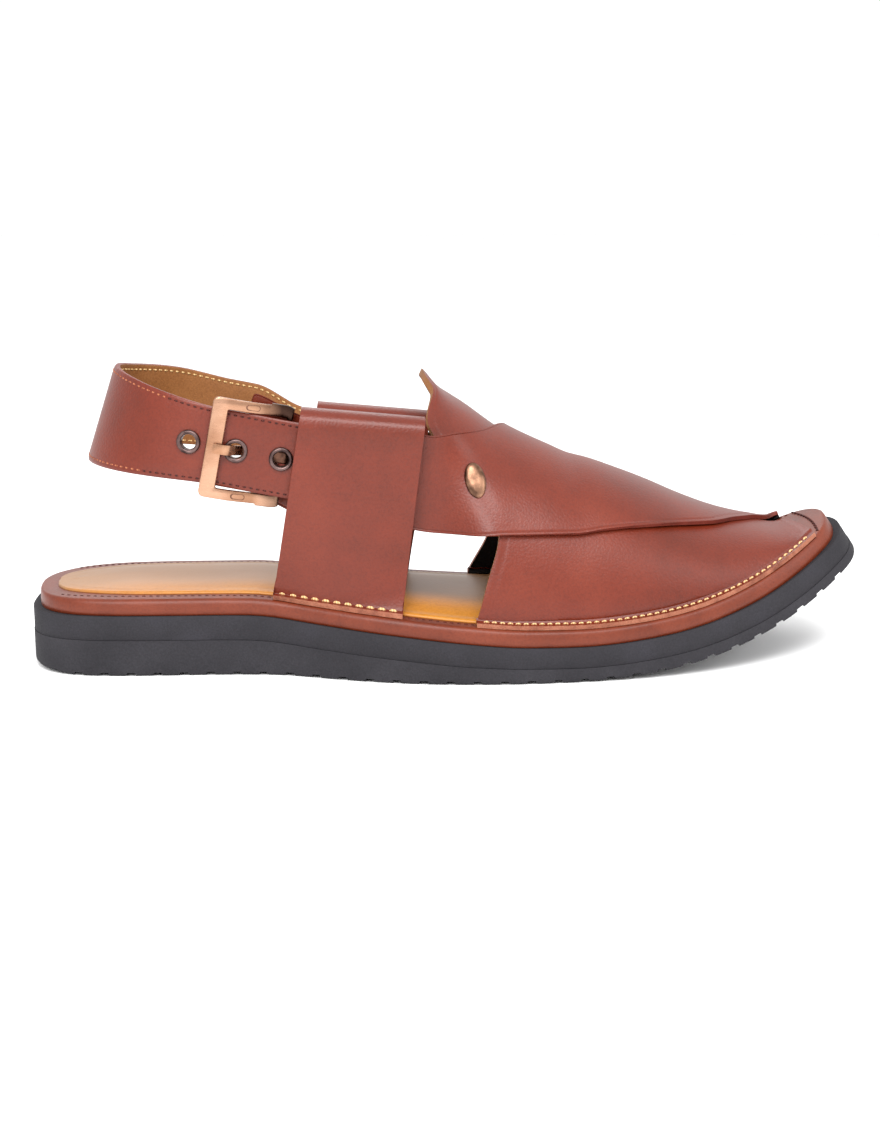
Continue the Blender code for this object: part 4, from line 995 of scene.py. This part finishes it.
def eyeletPlace(index):
    along = strapAlong(eyelet["first"] + index * eyelet["pitch"], -1)
    right = (strapPoint(along - 0.002, 0.0, 0.0) - strapPoint(along + 0.002, 0.0, 0.0)).normalized()
    rise = (strapPoint(along, 0.5, 0.0) - strapPoint(along, -0.5, 0.0)).normalized()
    out = right.cross(rise).normalized()
    rise = out.cross(right)
    return Matrix.Translation(strapPoint(along, 0.0, 0.0)) @ Matrix((
        (right.x, rise.x, out.x, 0.0), (right.y, rise.y, out.y, 0.0), (right.z, rise.z, out.z, 0.0), (0, 0, 0, 1)))


def turnedPiece(name, profile, spot, finish, steps=40, **extra):
    verts, rings = [], []
    for radius, height in profile:
        if radius == 0.0:
            rings.append([len(verts)] * steps)
            verts.append(spot @ Vector((0.0, 0.0, height)))
            continue
        rings.append([len(verts) + k for k in range(steps)])
        turns = [2 * pi * k / steps for k in range(steps)]
        verts += [spot @ Vector((radius * cos(turn), radius * sin(turn), height)) for turn in turns]
    pairs = list(zip(rings, rings[1:]))
    if profile[0][0] > 0.0:
        pairs.append((rings[-1], rings[0]))
    faces = []
    for a, b in pairs:
        for k in range(steps):
            m = (k + 1) % steps
            face = [a[k], a[m], b[m], b[k]]
            faces.append(tuple(v for i, v in enumerate(face) if v != face[i - 1]))
    return keepPiece(name, verts, faces, [finish], **extra)


strapRises = (-1.0, -0.985, -0.95, -0.90, -0.84, -0.6, -0.3, 0.0, 0.3, 0.6, 0.84, 0.90, 0.95, 0.985, 1.0)


def buildStrap():
    first, final = strapAlong(strap["end"], -1), strapAlong(strap["end"], 1)
    outer, inner = [], []
    for i in range(strap["steps"] + 1):
        along = mix(first, final, i / strap["steps"])
        low, high = [], []
        for r in strapRises:
            edge = max(0.0, (abs(r) - 0.88) / 0.12) ** 3
            press = strap["press"] * max(0.0, 1.0 - abs(abs(r) - strap["seam"]) / 0.035)  # the seam pulls a line
            low.append(strapPoint(along, r, 0.00045 * edge + press))
            high.append(strapPoint(along, r, strap["thick"] - 0.0003 * edge - press))
        outer.append(low)
        inner.append(high)
    obj = sheetPiece("buckledHeelStrap", outer, inner, [chestnut, liningHide, paintedEdge, paintedEdge],
                     slotName="upper_leather", stands=("heel_strap",))
    radius, reach = eyelet["hole"] + eyelet["wall"], 0.006
    profile = [(0.0, reach), (radius, reach), (radius, -reach), (0.0, -reach)]
    applyCut(obj, [turnedPiece("eyeletBore%d" % i, profile, eyeletPlace(i), eyeletMetal)
                   for i in range(eyelet["count"])])


buildStrap()
hole, rim, radius, base = eyelet["hole"], eyelet["rim"], eyelet["radius"], 0.00005
eyeletProfile = [(hole, 0.0003)]
eyeletProfile += [(mix(hole, radius, 0.5) - 0.5 * (radius - hole) * cos(a), 0.0002 + (rim + 0.0003) * sin(a) ** 0.8)
                  for a in (radians(t) for t in (12, 30, 50, 70, 90, 110, 130, 150, 168))]
eyeletProfile += [(radius, base), (hole + eyelet["wall"], base), (hole + eyelet["wall"], -strap["thick"]),
                  (hole, -strap["thick"])]
for i in range(eyelet["count"]):
    turnedPiece("strapEyelet%d" % (i + 1), eyeletProfile, eyeletPlace(i), eyeletMetal, 48, slotName="eyelet_metal",
                stands=("eyelet_%d" % (i + 1),))


strapThread = {"length": 0.00150, "thick": 0.00060, "lift": -0.00012, "sink": 0.0002, "pitch": 0.0023}
liningThread = {**strapThread, "lift": 0.00005}
strapFirst, strapFinal = strapAlong(strap["seamEnd"], -1), strapAlong(strap["seamEnd"], 1)


def strapSpots(rise, depth, outward, pitch):
    def pointAt(share):
        return strapPoint(mix(strapFirst, strapFinal, share), rise, depth)

    def upAt(share):
        return strapLine(mix(strapFirst, strapFinal, share))[1] * outward

    return spotsAlong(pointAt, upAt, pitch)


for rowName, rise in (("Upper", strap["seam"]), ("Lower", -strap["seam"])):
    spots = strapSpots(rise, 0.0, 1.0, strapThread["pitch"])
    darkerPart = len(spots) // 3  # the thread is dark at the buckle and paler toward the heel
    stitchRow("strapStitchesBuckle" + rowName, spots[:darkerPart], strapThread, brownThread)
    stitchRow("strapStitchesHeel" + rowName, spots[darkerPart:], strapThread, russetThread)
    spots = strapSpots(rise, strap["thick"], -1.0, liningThread["pitch"])
    stitchRow("strapLiningStitches" + rowName, spots, liningThread, creamThread)
print("heel strap made")

# Buckle

buckle = {"station": 0.0680, "run": 0.0235, "front": 0.0054, "bar": 0.0036, "depth": 0.0022, "block": 0.0006,
          "blockRun": 0.0068, "slack": 0.0005, "clear": 0.0003, "inRound": 0.0007, "outRound": 0.0020,
          "hinge": 0.00095, "hingeDepth": 0.00455, "prong": 0.0034, "prongDepth": 0.0013, "eye": 0.0008,
          "play": 0.00025, "chape": 0.00085, "chapePlay": 0.00022, "chapeWidth": 0.0150, "chapeRun": 0.0065}


def bucklePoint(run, rise, out):
    start = (buckle["station"] - sole["heelSeat"] - strapMiddle.x) / strapForward.x
    return strapMiddle + strapForward * (start + run) + strapUp * rise + Vector((0.0, -strapHalf - out, 0.0))


def frameLevel(run):
    # the middle of the frame sinks from over the strap to the hinge bar behind it
    front = 0.5 * buckle["front"]
    return mix(buckle["clear"] + 0.5 * buckle["depth"], -buckle["hingeDepth"],
               ease((run - front) / (buckle["run"] - front)))


def buildBuckleFrame():
    half = 0.5 * strap["width"] + buckle["slack"]
    wide = half + buckle["bar"]
    front, hinge, r = 0.5 * buckle["front"], buckle["run"], buckle["hinge"]
    block, raised = hinge - buckle["blockRun"], wide + buckle["block"]
    inRound, outRound = buckle["inRound"], buckle["outRound"]
    # inner edge (run, rise) and outer edge (run, rise), from mid front bar to mid hinge bar
    rows = [(front, 0.0, -front, 0.0), (front, 0.55 * half, -front, 0.55 * half),
            (front, half - 0.0008, -front, wide - outRound)]
    for a in (radians(t) for t in (18, 36, 54, 72)):
        rows.append((front + inRound * (1 - cos(a)), half - inRound * (1 - sin(a)),
                     -front + outRound * (1 - cos(a)), wide - outRound * (1 - sin(a))))
    rows += [(front + 0.0008, half, -front + 0.0021, wide), (0.30 * hinge, half, 0.30 * hinge, wide),
             (0.45 * hinge, half, 0.45 * hinge, wide), (block - 0.0006, half, block - 0.0006, wide),
             (block - 0.0001, half, block - 0.0001, wide + 0.1 * buckle["block"]),
             (block, half, block, raised), (hinge - 0.0030, half, hinge - 0.0016, raised),
             (hinge - r - 0.0004, half - 0.0001, hinge - 0.0002, wide + 0.6 * buckle["block"]),
             (hinge - r, half - 0.0004, hinge + r, wide - 0.0002),
             (hinge - r, half - 0.0014, hinge + r, half - 0.0014),
             (hinge - r, 0.5 * half, hinge + r, 0.5 * half)]
    rows += [(a, -b, c, -d) for a, b, c, d in reversed(rows[1:])]
    shape = ((0.0, -0.6), (0.04, -0.88), (0.12, -1.0), (0.88, -1.0), (0.96, -0.88), (1.0, -0.6),
             (1.0, 0.6), (0.96, 0.88), (0.88, 1.0), (0.12, 1.0), (0.04, 0.88), (0.0, 0.6))
    count = len(shape)
    turns = [2 * pi * (k + 0.5) / count for k in range(count)]
    rounded = [(0.5 - 0.5 * cos(turn), -sin(turn)) for turn in turns]
    verts = []
    for inRun, inRise, outRun, outRise in rows:
        centre = 0.5 * (inRun + outRun)
        deep = 0.5 * mix(buckle["depth"], 2 * r, ease((centre - block) / (hinge - block)))
        barShare = 1.0 if abs(outRise) < half and centre > 0.5 * hinge else 0.0
        for (a, d), (ra, rd) in zip(shape, rounded):
            across, depth = mix(a, ra, barShare), mix(d, rd, barShare)
            verts.append(bucklePoint(mix(inRun, outRun, across), mix(inRise, outRise, across),
                                     frameLevel(centre) + depth * deep))
    keepPiece("copperBuckleFrame", verts, loftFaces(len(rows), count, ring=True), [buckleMetal], sharp=32.0,
              slotName="buckle_metal", stands=("buckle_frame",))


def aroundHinge(radius, turn):
    return buckle["run"] + radius * sin(radians(turn)), -buckle["hingeDepth"] + radius * cos(radians(turn))


def smoothPath(points, perSpan):
    # a smooth curve through (run, out, thickness)
    made = []
    for i in range(len(points) - 1):
        near = [points[max(i - 1, 0)], points[i], points[i + 1], points[min(i + 2, len(points) - 1)]]
        made += [throughPoints(near, j / perSpan) for j in range(perSpan)]
    return made + [points[-1]]


def buildProng():
    eye = buckle["hinge"] + buckle["play"] + 0.5 * buckle["eye"]
    deep, run, clear = buckle["prongDepth"], buckle["run"], buckle["clear"]
    path = [(*aroundHinge(eye, turn), buckle["eye"]) for turn in (235, 205, 175, 145, 115, 85, 55, 27, 0)]
    under = -strap["thick"] - clear - 0.5 * deep
    hole = eyelet["first"] + eyelet["pitch"] - buckle["station"]
    rest = clear + buckle["depth"] + 0.0001 + 0.5 * deep
    path += [(0.80 * run, mix(path[-1][1], under, 0.4), mix(buckle["eye"], deep, 0.5)), (0.64 * run, under, deep)]
    # along the prong from the hole and height over the strap: under it, up through the eyelet, over the frame
    path += [(hole + along, out, deep) for along, out in (
        (0.0046, under), (0.0030, under + 0.0001), (0.0018, -0.0027), (0.0009, -0.0017), (0.0, -0.0006),
        (-0.0010, 0.0006), (-0.0018, 0.0016), (-0.0028, 0.0026), (-0.0040, rest - 0.0001))]
    path += [(0.0016, rest + 0.0001, deep), (0.0006, rest, deep), (-0.0002, rest - 0.0001, 0.75 * deep)]
    path = smoothPath(path, 4)
    verts, count = [], 14
    for i, (run, out, thick) in enumerate(path):
        before, after = path[max(i - 1, 0)], path[min(i + 1, len(path) - 1)]
        along = Vector((after[0] - before[0], after[1] - before[1])).normalized()
        side = Vector((-along.y, along.x)) * 0.5 * thick
        width = 0.5 * buckle["prong"] * (1.0 if i < len(path) - 3 else 0.93)
        for k in range(count):
            turn = 2 * pi * (k + 0.5) / count
            rise = width * max(-1.0, min(1.0, 1.25 * cos(turn)))
            across = max(-1.0, min(1.0, 1.35 * sin(turn)))
            verts.append(bucklePoint(run + side.x * across, rise, out + side.y * across))
    faces = tubeFaces(len(path), count)
    # painted shade: the prong's length under the strap gets the dark copper finish
    parts = [1 if path[min(face[0] // count, len(path) - 1)][1] < -0.0029 else 0 for face in faces]
    keepPiece("copperProng", verts, faces, [prongMetal, engravingAndShadeMetal], parts, 40.0, slotName="buckle_metal",
              stands=("buckle_prong",))


def buildChape():
    # the strip folded round the hinge bar, with a slot for the prong
    inner = buckle["hinge"] + buckle["chapePlay"]
    outer = inner + buckle["chape"]
    run, thick = buckle["run"], buckle["chape"]
    end, top = run + buckle["chapeRun"], -strap["thick"] - 0.0003
    turns = [-15 - 10 * i for i in range(20)]
    profile = [(end, top), (run + 0.0030, top), (run + 0.0005, aroundHinge(outer, 0)[1])]
    profile += [aroundHinge(outer, turn) for turn in turns]
    profile += [(run + 0.0036, top - 2 * thick - 0.0003), (end, top - 2 * thick - 0.0003),
                (end, top - thick - 0.0003),
                (run + 0.0034, top - thick - 0.0003)]
    profile += [aroundHinge(inner, turn) for turn in reversed(turns)]
    profile += [(run + 0.0003, aroundHinge(inner, 0)[1]), (run + 0.0030, top - thick), (end, top - thick)]
    half = 0.5 * buckle["chapeWidth"]
    chape = loftPiece("foldedChape", [[bucklePoint(r, rise, out) for r, out in profile] for rise in (-half, half)],
                      [paintedEdge], slotName="upper_leather", stands=("buckle_chape",))
    room = 0.5 * buckle["prong"] + 0.0003
    corners = ((run - 0.004, 0.0), (run + 0.0027, 0.0), (run + 0.0027, -0.010), (run - 0.004, -0.010))
    slot = [[bucklePoint(r, rise, out) for r, out in corners] for rise in (-room, room)]
    applyCut(chape, [loftPiece("prongSlot", slot, [paintedEdge])])


capsule = {"at": 0.46, "shift": 0.0002, "straight": 0.0014, "round": 0.0010, "steps": 28}


def buildEngraving():
    # a worn capsule pressed into the top and bottom bars
    half = 0.5 * strap["width"] + buckle["slack"] + 0.5 * buckle["bar"]
    steps, verts, faces = capsule["steps"], [], []
    for sign in (1, -1):
        middle = capsule["at"] * buckle["run"] - (0.0 if sign > 0 else capsule["shift"])
        first = len(verts)
        for k in range(steps):
            turn = 2 * pi * k / steps
            straight = capsule["straight"] if cos(turn) > 0 else -capsule["straight"]
            along = straight + capsule["round"] * cos(turn)
            rise = capsule["round"] * sin(turn)
            level = frameLevel(middle + along) + 0.5 * buckle["depth"]
            for grow, up in ((0.80, 0.00002), (0.90, 0.00012), (1.0, 0.00002)):
                verts.append(bucklePoint(middle + along * grow, sign * half + rise * grow, level + up))
        for k in range(steps):
            a, b = first + 3 * k, first + 3 * ((k + 1) % steps)
            faces += [(a, b, b + 1, a + 1), (a + 1, b + 1, b + 2, a + 2), (a + 2, b + 2, b, a)]
    keepPiece("buckleCapsules", verts, faces, [engravingAndShadeMetal], slotName="buckle_metal")


buildBuckleFrame()
buildProng()
buildEngraving()
buildChape()


studLook = {"station": 0.505, "angle": 43.0, "long": 0.0062, "short": 0.0040, "height": 0.0015}


def buildStud():
    # a plain oval dome, cast and toned like the buckle
    station, angle = studLook["station"] * sole["length"], studLook["angle"]
    along = (lastPoint(station + 0.001, angle) - lastPoint(station - 0.001, angle)).length / 0.002
    across = (lastPoint(station, angle + 1.0) - lastPoint(station, angle - 1.0)).length / 2
    dome = ((0.5, 0.0), (1.0, 0.0), (1.01, 0.2), (0.97, 0.42), (0.88, 0.66), (0.72, 0.84), (0.5, 0.95), (0.25, 0.99),
            (0.08, 1.0))
    steps, rings = 40, []
    for share, height in dome:
        ring = []
        for k in range(steps):
            turn = 2 * pi * k / steps
            s = station + share * studLook["short"] * cos(turn) / along
            a = angle + share * studLook["long"] * sin(turn) / across
            ring.append(outerBandPoint(s, a, -0.0001 - height * studLook["height"]))
        rings.append(ring)
    loftPiece("plainOvalStud", rings, [studMetal], slotName="buckle_metal", stands=("stud",))


buildStud()
print("buckle made")

# Floor, light and camera

floorLook = {"size": 6.0, "drop": 0.0002, "colour": "#FBFBFB", "roughness": 0.95}
size, drop = floorLook["size"], -floorLook["drop"]
mesh = bpy.data.meshes.new("paleFloor")
mesh.from_pydata([(-size, -size, drop), (size, -size, drop), (size, size, drop), (-size, size, drop)], [],
                 [(0, 1, 2, 3)])
floor = linkObject("paleFloor", mesh)
paper, tree, shader, spot = newFinish("matteWhitePaper", floorLook["colour"], floorLook["roughness"])
cloud = addNode(tree, "TexNoise", {"Scale": 3.0, "Detail": 2.0}, Vector=spot)
pulp = addNode(tree, "ValToRGB", {"stops": ((0.0, "#F9F9F9"), (1.0, "#FDFDFD"))}, i0=cloud)
feed(tree, shader, Base_Color=pulp)
mesh.materials.append(paper)

room = {"colour": "#FFFFFF", "strength": 1.04}
world = bpy.data.worlds.new("softWhiteRoom")
bpy.context.scene.world = world
world.use_nodes = True
sky = world.node_tree.nodes["Background"]
sky.inputs["Color"].default_value = linear(room["colour"])
sky.inputs["Strength"].default_value = room["strength"]

lights = {
    "topSoftbox": {"at": (0.22, -0.62, 0.95), "size": (0.6, 0.40), "watts": 8.5},
    "frontSoftbox": {"at": (-0.22, -0.80, 0.62), "size": (0.45, 0.30), "watts": 5.5},
    "toeStrip": {"at": (0.95, -0.45, 0.50), "size": (0.5, 0.5), "watts": 2.0},
    "backStrip": {"at": (-0.2, 0.9, 0.7), "size": (0.9, 0.4), "watts": 2.5},
}
aim = Vector((0.11, 0.0, 0.04))
for name, look in lights.items():
    lamp = bpy.data.lights.new(name, "AREA")
    lamp.shape = "RECTANGLE"
    lamp.size, lamp.size_y = look["size"]
    lamp.energy = look["watts"]
    obj = linkObject(name, lamp)
    obj.location = look["at"]
    obj.rotation_euler = (aim - Vector(look["at"])).to_track_quat("-Z", "Y").to_euler()

shot = {"distance": 0.600, "lens": 52.24, "elevation": 12.84, "azimuth": -3.2, "aim": (0.11015, 0.0, 0.03097)}
camera = bpy.data.cameras.new("productShot")
camera.sensor_fit = "VERTICAL"
camera.sensor_height = 36.0
camera.lens = shot["lens"]
camera.clip_start = 0.01
view = linkObject("productShot", camera)
az, el = radians(shot["azimuth"]), radians(shot["elevation"])
look = Vector((-sin(az) * cos(el), cos(az) * cos(el), -sin(el)))
view.location = Vector(shot["aim"]) - look * shot["distance"]
view.rotation_euler = look.to_track_quat("-Z", "Y").to_euler()
bpy.context.scene.camera = view
bpy.context.scene.view_settings.view_transform = "Standard"
print("stage set")
